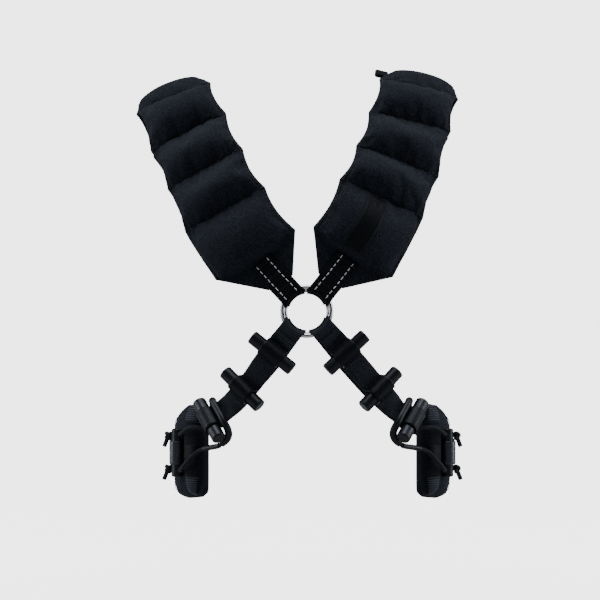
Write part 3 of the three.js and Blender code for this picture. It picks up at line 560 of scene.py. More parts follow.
def braid_cloth():
    """A braided sheath: strands crossing both ways round the cord."""
    made = Recipe("cord", Sheen_Weight=0.02, Sheen_Roughness=0.4, Specular_IOR_Level=0.12,
                  Roughness=0.6)
    along, across = made.cloth()
    left = made.wave(made.maths("ADD", along, across), 2.2)
    right = made.wave(made.maths("SUBTRACT", along, across), 2.2)
    strands = made.maths("MAXIMUM", left, right)
    both = made.maths("MULTIPLY", left, right)
    colour = made.ramp(strands, (0.4, (0.001, 0.0012, 0.002)), (0.95, (0.009, 0.0105, 0.014)))
    made.set("Base Color", made.mix(both, colour, (0.022, 0.025, 0.031)))
    made.bump((strands, 0.8, 0.0003))
    return made.material


def thread(name, colour):
    """Twisted sewing thread."""
    made = Recipe(name, Roughness=0.55, Sheen_Weight=0.05, Specular_IOR_Level=0.25)
    at = made.place()
    twist = made.noise(at, 2200, 2)
    made.set("Base Color", made.ramp(twist, (0.3, scaled(colour, 0.7)), (0.65, colour)))
    made.bump((twist, 0.4, 0.0001))
    return made.material


def label_cloth():
    """A dark satin ribbon with a fine rib."""
    made = Recipe("label", Roughness=0.5, Sheen_Weight=0.02, Specular_IOR_Level=0.08)
    along, _ = made.cloth()
    ribs = made.wave(along, 0.7)
    fuzz = made.noise(made.place(), 500, 2)
    colour = made.ramp(ribs, (0.2, (0.0015, 0.0018, 0.0026)), (0.9, (0.004, 0.0046, 0.006)))
    made.set("Base Color", colour)
    made.bump((ribs, 0.4, 0.00015), (fuzz, 0.15, 0.0001))
    return made.material


LOOKS = {
    "pad": pad_fabric("pad_fabric", 1.7, 1.0),
    "webbing": webbing_cloth("webbing", 1.5, 0.28, 0.6, 0.07),
    "ribbed": webbing_cloth("ribbed_webbing", 1.7, 1.1),
    "elastic": webbing_cloth("ribbed_elastic", 2.4, 1.5),
    # The lower strap's webbing where it covers a toggle: the same webbing, with its colour darkened as
    # painted shade.
    "sleeve": webbing_cloth("sleeve_webbing_painted_shade", 1.7, 0.25, 0.3, 0.12, 0.3),
    # The rear strap's webbing where it wraps the side rod: glossier, and with its colour lightened as
    # painted light.
    "wrap_painted_light": webbing_cloth("taped_webbing", 1.7, 0.4, 0.24, 0.6, 0.2),
    "mesh": pad_fabric("side_fabric", 2.0, 1.2),
    "pouch": pad_fabric("pouch_fabric", 1.6, 0.5),
    "steel": steel_wire(),
    "plastic": moulded("rod_plastic", (0.0045, 0.005, 0.0065), 0.32, 0.44, 1500),
    "rubber": moulded("hose_rubber", (0.004, 0.0045, 0.006), 0.38, 0.5, 1100),
    "cord": braid_cloth(),
    "label": label_cloth(),
    "thread": thread("black_thread", (0.008, 0.0095, 0.013)),
    "tracer": thread("tracer_thread", (0.78, 0.8, 0.8)),
}


# ---------------------------------------------------------------- shoulder pads

def tip_station(ring, corners, target, reach):
    centre = ring + unit(target - ring) * reach
    across = unit(corners[1] - corners[0]) * TIP_HALF_WIDTH
    return centre - across, centre + across


class Pad:
    """A shoulder pad: point(u, v, lift) is u across, v along in stations and lift off the wearer."""

    LAST = 10
    CREST = 4

    def __init__(self, side_name):
        self.side = SIDES[side_name]
        front = [(vec(*inner), vec(*outer)) for inner, outer in FRONT_SEAMS[side_name]]
        rear = [(self.mirrored(a), self.mirrored(b)) for a, b in front[:REAR_SEAM_COUNT]]
        heading = sum(front[-1]) / 2
        heading[1] = FRONT_RING[1]
        rear_tip = tip_station(REAR_RING, rear[-1], sum(rear[-1]) / 2, REAR_TIP_REACH)
        front_tip = tip_station(FRONT_RING, front[-1], heading, FRONT_TIP_REACH)
        stations = [rear_tip, *rear[::-1], *front, front_tip]
        self.edges = [np.array([s[i] for s in stations]) for i in (0, 1)]

    def mirrored(self, p):
        return vec(p[0] + self.side * REAR_SPREAD, -p[1], p[2])

    def edge(self, which, v):
        points = self.edges[which]
        v = np.clip(np.atleast_1d(v), 0, self.LAST)
        k = np.minimum(np.floor(v).astype(int), self.LAST - 1)
        straight = lerp(points[k], points[k + 1], (v - k)[:, None])
        curved = catmull(points[1:-1], np.clip(v - 1, 0, self.LAST - 2))
        return np.where(((k == 0) | (k == self.LAST - 1))[:, None], straight, curved)

    def edges_at(self, v):
        v = np.atleast_1d(v)
        inner, outer = self.edge(0, v), self.edge(1, v)
        across = unit(outer - inner)
        pull = (SEAM_SCALLOP * np.abs(np.sin(math.pi * v)))[:, None]
        inner = inner + across * pull * ((v > 1) & (v < self.LAST - 1))[:, None]
        outer = outer - across * pull * ((v > 2) & (v < self.LAST - 2))[:, None]
        return inner, outer

    def normal(self, v):
        v = np.atleast_1d(v)
        across = self.edge(1, v) - self.edge(0, v)
        before, after = (sum(self.edges_at(np.clip(v + d, 0, self.LAST))) / 2 for d in (-0.3, 0.3))
        return unit(np.cross(across, after - before) * -self.side)

    def points(self, u, v, lift):
        """u is a row of columns, v a column of rows, lift a table of both."""
        inner, outer = self.edges_at(v)
        flat = inner[:, None] + (outer - inner)[:, None] * np.asarray(u)[None, :, None]
        return flat + self.normal(v)[:, None] * np.asarray(lift)[..., None]

    def point(self, u, v, lift):
        return self.points([u], [v], [[lift]])[0, 0]

    def fill(self, v):
        """0 on the seams to 1 in a channel's middle; shot settles towards the lower seam."""
        v = np.atleast_1d(v)
        k = np.minimum(np.floor(v), self.LAST - 1)
        along = v - k
        lower = np.where(k == self.CREST, 1.0, SETTLE)
        share = np.where(k < self.CREST, 1 - (1 - along) ** lower, along**lower)
        panel_rear, panel_front = v < 2, v > self.LAST - 2
        share = np.where(panel_rear, (2 - v) / 2 / PANEL_PUFF_END, share)
        share = np.where(panel_front, (v - self.LAST + 2) / 2 / PANEL_PUFF_END, share)
        scale = np.where(k == self.CREST, CREST_PUFF / PAD_PUFF, 1.0)
        return scale * np.maximum(np.sin(math.pi * np.clip(share, 0, 1)), 0) ** FILL_EASE


def pucker(u, v, phases, width=90.0, span=55.0):
    """Small gathers that run off each seam, strongest beside it."""
    from_seam = np.abs(v - np.round(v)) * span
    near = np.exp(-((from_seam / GATHER_REACH) ** 2))
    k = np.clip(np.round(v).astype(int), 0, len(phases) - 1)
    height = np.zeros((len(v), len(u)))
    for wave, (pitch, rise) in enumerate(GATHERS):
        turn = 2 * math.pi * u[None, :] * width / pitch + phases[k, wave][:, None]
        height += rise * np.sin(turn)
    inside = np.sin(math.pi * u)[None, :] ** 0.5
    quilted = ((v > 1.5) & (v < Pad.LAST - 1.5))[:, None]
    return height * near[:, None] * inside * quilted


def build_pad(side_name):
    pad = PADS[side_name]
    steps = eased(PAD_ROW_STEPS)
    v = np.concatenate([[0], *[k + steps[1:] for k in range(Pad.LAST)]])
    u = grid(PAD_COLUMNS, 0.5)
    phases = DICE.uniform(0, 2 * math.pi, (Pad.LAST + 1, len(GATHERS)))
    shape = pad.fill(v)[:, None] * bulge(u, *EDGE_FALL)[None, :]
    gathers = pucker(u, v, phases)
    top = CLOTH_RISE + (PAD_PUFF - SWELL) * shape + gathers * np.minimum(1, 0.3 + shape)
    bottom = -CLOTH_DROP - BODY_PUFF * shape
    upper = pad.points(u, v, top)
    lower = pad.points(u, v, bottom)[:, ::-1]
    rim = PAD_COLUMNS + 1
    rings = np.concatenate([upper, lower], axis=1)
    middle = len(v) // 2
    around = np.concatenate([lengths_of(upper[middle]), lengths_of(lower[middle])])
    around[rim:] += around[rim - 1] + CLOTH_RISE + CLOTH_DROP
    around = np.append(around, around[-1] + CLOTH_RISE + CLOTH_DROP)
    along = lengths_of(upper[:, PAD_COLUMNS // 2])
    obj = wrapped(f"{side_name}_pad", rings, along, around, LOOKS["pad"])
    on_seam = (np.abs(v - np.round(v)) < 1e-6) & (v > 1.5) & (v < Pad.LAST - 1.5)
    at_tip = (v > Pad.LAST - 0.85) | (v < 0.85)
    held = np.zeros(rings.shape[:2], bool)
    held[on_seam | at_tip] = True
    held[:, [0, rim - 1, rim, 2 * rim - 1]] = True
    inflate(obj, np.nonzero(held.ravel())[0], SWELL + 1.5)
    subdivide(obj)
    bags = [f"{side_name}_shot_bag_{i}" for i in range(1, 9)]
    ride_on(obj, "harness", "pad_fabric", f"{side_name}_pad_cover", f"{side_name}_pad_backing", *bags)
    return obj


def inflate(obj, held, cap):
    """Blows a closed skin up as cloth that is fixed along its seams; cap limits each point's way."""
    mesh = obj.data
    before = np.empty(len(mesh.vertices) * 3)
    mesh.vertices.foreach_get("co", before)
    before = before.reshape(-1, 3)
    group = obj.vertex_groups.new(name="held")
    group.add([int(i) for i in held], 1.0, "ADD")
    cloth = obj.modifiers.new("cloth", "CLOTH")
    settings = cloth.settings
    settings.quality = 5
    settings.mass = 0.25
    settings.tension_stiffness = 12
    settings.compression_stiffness = 12
    settings.shear_stiffness = 4
    settings.bending_stiffness = 0.15
    settings.shrink_min = SHRINK
    settings.vertex_group_mass = "held"
    settings.use_pressure = True
    settings.uniform_pressure_force = PRESSURE
    settings.effector_weights.gravity = 0
    cloth.collision_settings.use_collision = False
    cloth.point_cache.frame_start = 1
    cloth.point_cache.frame_end = SIM_FRAMES
    scene = bpy.context.scene
    for frame_number in range(1, SIM_FRAMES + 1):
        scene.frame_set(frame_number)
    evaluated = obj.evaluated_get(bpy.context.evaluated_depsgraph_get())
    after = np.empty(before.size)
    evaluated.data.vertices.foreach_get("co", after)
    moved = after.reshape(-1, 3) - before
    distance = np.linalg.norm(moved, axis=1, keepdims=True)
    limit = cap * MM
    eased_off = limit * np.tanh(distance / limit) / np.maximum(distance, 1e-9)
    scale = np.where(distance > 1e-9, eased_off, 1)
    obj.modifiers.clear()
    obj.vertex_groups.clear()
    mesh.vertices.foreach_set("co", (before + moved * scale).ravel())
    mesh.update()
    scene.frame_set(1)


def tree_of(obj):
    graph = bpy.context.evaluated_depsgraph_get()
    return BVHTree.FromObject(obj, graph)


def dropped(tree, above, direction, clearance):
    """The place on a surface under a point, held off it by clearance millimetres."""
    hit, _, _, _ = tree.ray_cast(Vector(above * MM), Vector(direction))
    return above if hit is None else np.array(hit) / MM - direction * clearance


def build_pad_stitches(side_name, obj):
    """Thread along each quilting seam and along both long edges."""
    pad, tree = PADS[side_name], tree_of(obj)
    dashes = []

    def dash(a, b):
        normal = pad.normal(a[1])[0]
        ends = [dropped(tree, pad.point(u, v, 30), -normal, 0.1) for u, v in (a, b)]
        if np.linalg.norm(ends[1] - ends[0]) < 6:
            dashes.append((*ends, normal))

    for seam in range(2, Pad.LAST - 1):
        for t in np.arange(0.02, 0.95, 0.04):
            dash((t, seam), (t + 0.03, seam))
    for u in (0.022, 0.978):
        for v in np.arange(0.9, Pad.LAST - 0.7, 0.07):
            dash((u, v), (u, v + 0.05))
    sew(f"{side_name}_pad_stitches", dashes, 0.38, "harness", "pad_fabric")


# ---------------------------------------------------------------- webbing

def as_rows(*values):
    return (np.atleast_1d(np.asarray(x, float)) for x in np.broadcast_arrays(*values))


class Route:
    """A strap's way: at(s, lift, across) is s from the ring's centre, lifted and moved across."""

    PER_SPAN = 40

    def __init__(self, stations, side):
        self.points = np.array([point for point, _ in stations])
        self.normals = np.array([normal for _, normal in stations])
        self.side = side
        self.t = np.linspace(0, len(stations) - 1, (len(stations) - 1) * self.PER_SPAN + 1)
        self.lengths = lengths_of(catmull(self.points, self.t))
        self.marks = self.lengths[::self.PER_SPAN]
        self.total = self.lengths[-1]

    def tangent(self, s):
        t = np.interp(s, self.lengths, self.t)
        low, high = np.maximum(t - 0.004, 0), np.minimum(t + 0.004, self.t[-1])
        return unit(catmull(self.points, high) - catmull(self.points, low))

    def at(self, s, lift, across):
        s, lift, across = as_rows(s, lift, across)
        inside = np.clip(s, 0, self.total)
        tangent = self.tangent(inside)
        centre = catmull(self.points, np.interp(inside, self.lengths, self.t))
        centre = centre + tangent * (s - inside)[:, None]
        k = np.clip(np.searchsorted(self.marks, inside), 1, len(self.marks) - 1)
        blend = smooth(self.marks[k - 1], self.marks[k], inside)[:, None]
        normal = lerp(self.normals[k - 1], self.normals[k], blend)
        normal = unit(normal - tangent * np.sum(normal * tangent, axis=1, keepdims=True))
        sideways = np.cross(tangent, normal) * -self.side
        return centre + normal * lift[:, None] + sideways * across[:, None]

    def place(self, s, lift, across):
        """As at(), but the fold near the ring follows its round wire."""
        s, lift, across = as_rows(s, lift, across)
        wire = np.sqrt(RING_RADIUS**2 - across**2)
        follow = 1 - smooth(RING_RADIUS + 2, RING_RADIUS + 16, s)
        before = wire + (s - RING_RADIUS) * RING_RADIUS / wire
        after = s - (RING_RADIUS - wire) * follow
        return self.at(np.where(s <= RING_RADIUS, before, after), lift, across)


def ring_stations(ring, target, normal):
    heading = target - ring
    heading[1] = 0
    heading = unit(heading)
    return [(ring + heading * s, normal) for s in RING_APPROACH]


def arc(centre, radius, start, end):
    turn = np.radians(np.linspace(start, end, max(int(abs(end - start) * radius / 60), 6)))
    return [(centre[0] + radius * math.cos(q), centre[1] + radius * math.sin(q)) for q in turn]


class Webbing:
    """Flat webbing laid along a path of (s, lift) points on a route, resampled evenly and eased."""

    STEP = 0.7

    def __init__(self, route, path, soften=2):
        self.route = route
        path = np.array(path, float)
        length = lengths_of(path)
        count = int(length[-1] / self.STEP)
        self.along = np.linspace(0, length[-1], count + 1)
        line = np.stack([np.interp(self.along, length, path[:, i]) for i in (0, 1)], axis=1)
        for _ in range(soften):
            line[1:-1] = (line[:-2] + 2 * line[1:-1] + line[2:]) / 4
        self.line = line
        step = unit(np.gradient(line, axis=0))
        self.outwards = np.stack([step[:, 1], -step[:, 0]], axis=1)

    def on(self, along, off, across):
        """Points on the webbing: along it, off its middle layer outwards, and across it."""
        tables = (*self.line.T, *self.outwards.T)
        s, lift, ds, dl = (np.interp(along, self.along, values) for values in tables)
        return self.route.place(s + ds * off, lift + dl * off, across)

    def skin(self, name, width, material):
        half = width / 2
        columns = np.sin(np.linspace(-1, 1, WEB_COLUMNS + 1) * math.pi / 2) * half
        body = WEB_THICK / 2 * (0.3 + 0.7 * quarter_round((half - np.abs(columns)) / 1.3))
        across = np.concatenate([columns, columns[::-1]])
        off = np.concatenate([body, -body])
        rings = np.stack([self.on(self.along, o, a) for o, a in zip(off, across)], axis=1)
        around = np.append(np.concatenate([columns, columns + 2 * width]), columns[0] + 4 * width)
        return wrapped(name, rings, self.along, around, material)

    def look_where(self, strap, material, chosen):
        """Gives a strap's faces another material where chosen(s, lift) is true."""
        strap.data.materials.append(material)
        for polygon in strap.data.polygons:
            s, lift = self.line[min(polygon.vertices[0] // WEB_RING, len(self.line) - 1)]
            polygon.material_index = 1 if chosen(s, lift) else 0

    def dash(self, start, end, across_start, across_end, off):
        a = self.on(start, off, across_start)[0]
        b = self.on(end, off, across_end)[0]
        above, below = (self.on((start + end) / 2, o, across_start)[0] for o in (off + 1, off))
        return a, b, unit(above - below)

    def mark_at(self, s, start=0.0):
        """How far along the webbing is the first place after start where the route's s is reached."""
        after = self.along >= start
        return self.along[after][np.argmin(np.abs(self.line[after, 0] - s))]


def cross_stitch(webbing, along, half, off):
    """A straight row of stitches across the webbing."""
    ends = np.arange(-half, half - 1.4, 2.1)
    return [webbing.dash(along, along, a, a + 1.6, off) for a in ends]


def zigzag(webbing, along, half, off, reach=0.8):
    """A bar of zigzag stitches across the webbing."""
    ends = np.arange(-half, half, 1.15)
    places = [along + reach * (-1) ** i for i in range(len(ends))]
    spans = range(len(ends) - 1)
    return [webbing.dash(places[i], places[i + 1], ends[i], ends[i + 1], off) for i in spans]


RING_WRAP = arc((RING_RADIUS, 0), WRAP_RADIUS, 90, 270)


def build_tab(side_name, place):
    pad = PADS[side_name]
    front = place == "front"
    ring = FRONT_RING if front else REAR_RING
    ends = (Pad.LAST, Pad.LAST - 1) if front else (0, 1)
    tip, corner = ((pad.edges[0][i] + pad.edges[1][i]) / 2 for i in ends)
    normal = pad.normal(ends[0])[0]
    stations = [*ring_stations(ring, tip, vec(0, -1 if front else 1, 0)),
                (tip, normal), (lerp(tip, corner, 0.5), normal), (corner, normal)]
    route = Route(stations, pad.side if front else -pad.side)
    rear_end = route.marks[len(RING_APPROACH)] + REAR_TAB_GRIP
    top_end, under_end = FRONT_TAB_ENDS if front else (rear_end, rear_end)
    above = CLOTH_RISE + TAB_CLEARANCE + WEB_THICK / 2
    below = -CLOTH_DROP - TAB_CLEARANCE - WEB_THICK / 2
    path = [(top_end, above), (TAB_PARTING, above), *RING_WRAP, (TAB_PARTING, below), (under_end, below)]
    webbing = Webbing(route, path, 4)
    width = TAB_WIDTH if front else STRAP_WIDTH
    tab = webbing.skin(f"{side_name}_{place}_tab", width, LOOKS["webbing"])
    ride_on(tab, "harness", "webbing", f"{side_name}_{place}_tab")
    off = WEB_THICK / 2
    half = width / 2 - 2
    rows = []
    for along in (1.8, 4.2, 21, webbing.mark_at(TAB_PARTING) - 1):
        rows += cross_stitch(webbing, along, half, off)
    sew(f"{side_name}_{place}_tab_stitches", rows, 0.35, "harness", "webbing")
    if front:
        end = webbing.mark_at(RING_RADIUS - WRAP_RADIUS) + 1
        starts = np.arange(0.6, end - TRACER["dash"], TRACER["period"])
        lines = [webbing.dash(t, t + TRACER["dash"], a, a, off) for t in starts
                 for a in (-TRACER["across"], TRACER["across"])]
        tracer = stitches(f"{side_name}_tab_tracers", lines, TRACER["radius"], LOOKS["tracer"])
        ride_on(tracer, "harness", "webbing")


def lower_route(side_name):
    side = SIDES[side_name]
    points = [vec(lean + side * spread, y, z) for lean, spread, y, z, _ in LOWER_STRAP]
    down = []
    for i in range(3):
        along = unit(points[i + 1] - (points[i - 1] if i else FRONT_RING))
        nx, ny, nz = LOWER_STRAP[i][4]
        normal = vec(-side * nx, ny, nz)
        down += [(points[i] + along * s, normal) for s in (-STRAIGHT_REACH, 0, STRAIGHT_REACH)]
    return Route([*ring_stations(FRONT_RING, down[0][0].copy(), vec(0, -1, 0)), *down], side)


def toggle_marks(route):
    return route.marks[len(RING_APPROACH) + 1::3]


def lower_path(marks):
    first, second, last = marks
    fold = LAYER_LIFT + WEB_THICK + LAYER_GAP
    path = [(FOLD_END, fold), (FOLD_GROOVE + 2.5, fold + 0.2), (FOLD_GROOVE, fold - 1),
            (FOLD_GROOVE - 2.5, fold + 0.5), *RING_WRAP, (RING_RADIUS + 10, -LAYER_LIFT),
            (last, -LAYER_LIFT), *arc((last, TOGGLE_LIFT), SLEEVE_RADIUS, -60, 165)]
    for mark in (second, first):
        path += [(path[-1][0] - 1, LAYER_LIFT), (mark + SLEEVE_REACH, LAYER_LIFT)]
        path += arc((mark, TOGGLE_LIFT), SLEEVE_RADIUS, 15, 165)
    return path + [(first - SLEEVE_REACH, LAYER_LIFT), (RING_RADIUS + 12, LAYER_LIFT)]


def build_lower_strap(side_name):
    route = LOWER_ROUTES[side_name]
    marks = toggle_marks(route)
    webbing = Webbing(route, lower_path(marks), 2)
    strap = webbing.skin(f"{side_name}_lower_strap", STRAP_WIDTH, LOOKS["ribbed"])

    def on_sleeve(s, lift):
        near = min(abs(s - mark) for mark in marks)
        return lift > LAYER_LIFT + 0.8 and near < SLEEVE_RADIUS + 2

    # The faces that cover the toggles take a darker copy of the strap's webbing: painted shade.
    webbing.look_where(strap, LOOKS["sleeve"], on_sleeve)
    ride_on(strap, "harness", "webbing", f"{side_name}_lower_strap")
    turned = webbing.mark_at(marks[2] + SLEEVE_RADIUS, webbing.along[-1] / 3)
    off, half = WEB_THICK / 2, STRAP_WIDTH / 2 - 1.2
    rows = []
    for mark in marks[::-1]:
        if mark != marks[2]:
            rows += zigzag(webbing, webbing.mark_at(mark + ZIGZAG_REACH, turned), half, off)
        over = webbing.mark_at(mark, turned)
        rows += zigzag(webbing, webbing.mark_at(mark - ZIGZAG_REACH, over), half, off)
    rows += zigzag(webbing, 2.2, half, off)
    rows += cross_stitch(webbing, webbing.mark_at(FOLD_GROOVE), half, off)
    sew(f"{side_name}_lower_strap_stitches", rows, 0.36, "harness", "webbing")


def rounded_rod(radius, length, round_off):
    """A rod's profile, with rounded rims and softly domed ends."""
    half = length / 2
    flat, shoulder = radius - round_off, half - round_off
    turn = np.radians(np.linspace(0, 90, 7))
    top = [(flat + round_off * math.cos(q), shoulder + round_off * math.sin(q)) for q in turn]
    top += [(flat - 0.5, half), (radius * 0.45, half - 0.15), (radius * 0.12, half - 0.18)]
    body = [(radius, z) for z in np.linspace(-half + round_off + 1, half - round_off - 1, 9)]
    return [(r, -z) for r, z in top[::-1]] + body + top


def build_toggles(side_name):
    route = LOWER_ROUTES[side_name]
    profile = rounded_rod(TOGGLE_RADIUS, TOGGLE_LENGTH, TOGGLE_ROUND)
    for index, mark in enumerate(toggle_marks(route), 1):
        centre = route.at(mark, TOGGLE_LIFT, 0)[0]
        axis = route.at(mark, TOGGLE_LIFT, 1)[0] - centre
        name = f"{side_name}_toggle_{index}"
        ride_on(lathe(name, profile, centre, axis, LOOKS["plastic"], 64), name, "rod_plastic", name)


# ---------------------------------------------------------------- rings

def build_ring(name, centre):
    big, small = turns(128), turns(28)
    reach = RING_RADIUS + WIRE_RADIUS * np.cos(small)[None, :]
    depth = centre[1] + WIRE_RADIUS * np.sin(small)[None, :] + 0 * big[:, None]
    points = np.stack([centre[0] + reach * np.cos(big)[:, None], depth,
                       centre[2] + reach * np.sin(big)[:, None]], axis=-1)
    around = np.append(small, 2 * math.pi)
    wire = wrapped(name + "_wire", points, big * RING_RADIUS, around, LOOKS["steel"], closed=True)
    ride_on(wire, name, "steel", name)


# ---------------------------------------------------------------- waist pieces

def waist_point(side_name, angle, lift, z):
    side = SIDES[side_name]
    angle, lift, z = np.broadcast_arrays(np.radians(np.asarray(angle, float)), lift, z)
    width, depth = WAIST_HALF
    normal = unit(np.stack([side * depth * np.sin(angle), -width * np.cos(angle), 0 * angle], axis=-1))
    base = np.stack([WAIST_X + side * width * np.sin(angle), -depth * np.cos(angle), z + 0 * angle], axis=-1)
    return base + normal * np.asarray(lift)[..., None]


def build_side_pad(side_name):
    """A foam pad with a bound rim that curves round the waist."""
    start, end = SIDE_PAD_OUTLINE[[0, -1], 0]
    angles = grid(44, 0.6) * (end - start) + start
    top, bottom = (np.interp(angles, SIDE_PAD_OUTLINE[:, 0], SIDE_PAD_OUTLINE[:, i]) for i in (1, 2))
    u = grid(30, 0.4)
    rim = 0.42  # the rim's share of the thickness
    ends = rim + (1 - rim) * quarter_round(np.minimum(angles - start, end - angles) / 3.2)
    crown = rim + (1 - rim) * bulge(u, 5, 0.5)
    inset = 5.5  # the binding's width
    binding = np.minimum(u, 1 - u)[None, :] * (top - bottom)[:, None]
    groove = 0.7 * np.exp(-((binding - inset) / 1.1) ** 2)
    shape = np.minimum(crown[None, :], ends[:, None])
    outer = SIDE_PAD_THICK * shape - groove
    inner = 0.4 + 0.35 * SIDE_PAD_THICK * (1 - shape)
    z = bottom[:, None] + (top - bottom)[:, None] * u[None, :]
    face = waist_point(side_name, angles[:, None], outer, z)
    back = waist_point(side_name, angles[:, None], inner, z)[:, ::-1]
    rings = np.concatenate([face, back], axis=1)
    along = (angles - start) * 2.3
    pad = wrapped(f"{side_name}_side_cushion", rings, along, two_sided(u * 95, 100), LOOKS["mesh"])
    subdivide(pad)
    ride_on(pad, "harness", "pad_fabric", f"{side_name}_side_pad")
    dashes = []
    for i in range(1, len(angles) - 2):
        for row in (top - inset, bottom + inset):
            a, b = (waist_point(side_name, angles[j] + t, outer.max() - 1.3, row[j])
                    for j, t in ((i, 0.1), (i + 1, -0.3)))
            dashes.append((a, b, a - waist_point(side_name, angles[i], 0, row[i])))
    sew(f"{side_name}_side_cushion_stitches", dashes, 0.4, "harness", "pad_fabric")


def trim_reach(v, end=0.35, square=3):
    """Half the pouch's width in degrees, narrower towards both ends."""
    return (TRIM["half_width"] * (end + (1 - end) * bulge(v, square, 0.5))) / ARC_LENGTH


def trim_thickness(u, v):
    return TRIM["edge"] + (TRIM["thick"] - TRIM["edge"]) * bulge(u, 2.4, 0.7) * bulge(v, 5, 0.6)


def trim_point(side_name, u, v, lift):
    angle = TRIM["angle"] + (2 * u - 1) * trim_reach(v)
    return waist_point(side_name, angle, TRIM_BASE + lift, lerp(TRIM["bottom"], TRIM["top"], v))


def build_trim(side_name):
    """A weight sewn into a rounded pouch, with elastic at both ends and a patch in the middle."""
    v, u = grid(46, 0.5), grid(22, 0.3)
    length = TRIM["top"] - TRIM["bottom"]
    ends = np.minimum(v, 1 - v) * length
    rounded = 0.35 + 0.65 * quarter_round(ends / 6)
    gathered = 1 - 0.07 * np.exp(-((ends - ELASTIC_HEIGHT - 1) / 3.2) ** 2)
    thick = trim_thickness(u[None, :], v[:, None]) * (rounded * gathered)[:, None]
    narrowed = trim_reach(v, 0.12, 2.6) / trim_reach(v)  # rounder ends than the part that it replaces
    across = 0.5 + (u[None, :] - 0.5) * narrowed[:, None]
    outer = trim_point(side_name, across, v[:, None], thick)
    inner = trim_point(side_name, across, v[:, None], 0.25 + 0 * thick)[:, ::-1]
    rings = np.concatenate([outer, inner], axis=1)
    pouch = wrapped(f"{side_name}_trim_body", rings, v * length, two_sided(u * 36, 40), LOOKS["pouch"])
    pouch.data.materials.append(LOOKS["elastic"])
    for polygon in pouch.data.polygons:
        row, column = divmod(min(polygon.vertices), rings.shape[1])
        elastic = ends[row] < ELASTIC_HEIGHT and 0.22 < column / (len(u) - 1) < 0.92
        polygon.material_index = 1 if elastic else 0
    subdivide(pouch)
    body = f"{side_name}_trim_weight"
    ride_on(pouch, body, "pad_fabric", f"{side_name}_trim_pouch", f"{side_name}_trim_plate")
    build_trim_patch(side_name, body, length)
    outwards = waist_point(side_name, TRIM["angle"], 1, 0) - waist_point(side_name, TRIM["angle"], 0, 0)
    seam = (ELASTIC_HEIGHT + 0.5) / length
    dashes = []
    for at_v in (seam, 1 - seam):
        for a in np.arange(0.1, 0.86, 0.055):
            near, far = (trim_point(side_name, t, at_v, trim_thickness(t, at_v) * 0.94 + 0.35)
                         for t in (a, a + 0.04))
            dashes.append((near, far, outwards))
    sew(f"{side_name}_trim_stitches", dashes, 0.36, body, "pad_fabric")


def build_trim_patch(side_name, body, length):
    """A plain patch on the middle of the pouch."""
    u, v = np.linspace(0.2, 0.8, 13), np.linspace(0.4, 0.56, 15)
    lift = trim_thickness(u[None, :], v[:, None])
    face = trim_point(side_name, u[None, :], v[:, None], lift + 0.55)
    under = trim_point(side_name, u[None, :], v[:, None], lift - 0.2)[:, ::-1]
    rings = np.concatenate([face, under], axis=1)
    patch = wrapped(f"{side_name}_trim_patch", rings, v * length, two_sided(u * 36, 40), LOOKS["label"])
    ride_on(patch, body, "label")


def rod_hole_direction(side_name):
    return unit(vec(SIDES[side_name] * 0.78, 0.63, 0))


def rod_hole_height(end):
    reach = ROD["length"] / 2 - ROD["hole_inset"]
    return ROD["z"] + (reach if end == "upper" else -reach)


def build_side_rod(side_name):
    centre = waist_point(side_name, ROD["angle"], ROD_LIFT, ROD["z"])
    name = f"{side_name}_side_rod"
    profile = rounded_rod(ROD["radius"], ROD["length"], ROD["round"])
    rod = lathe(f"{name}_turned", profile, centre, (0, 0, 1), LOOKS["plastic"], 64)
    for end in ("upper", "lower"):
        middle = waist_point(side_name, ROD["angle"], ROD_LIFT, rod_hole_height(end))
        bore = [(ROD_HOLE_RADIUS, z) for z in (-3 * ROD["radius"], 0, 3 * ROD["radius"])]
        drill = lathe("drill", bore, middle, rod_hole_direction(side_name), LOOKS["plastic"], 32)
        modifier = rod.modifiers.new("hole", "BOOLEAN")
        modifier.operation = "DIFFERENCE"
        modifier.solver = "EXACT"
        modifier.object = drill
        apply_modifiers(rod)
        bpy.data.objects.remove(drill)
    rod.data.set_sharp_from_angle(angle=math.radians(40))
    ride_on(rod, "harness", "rod_plastic", name)


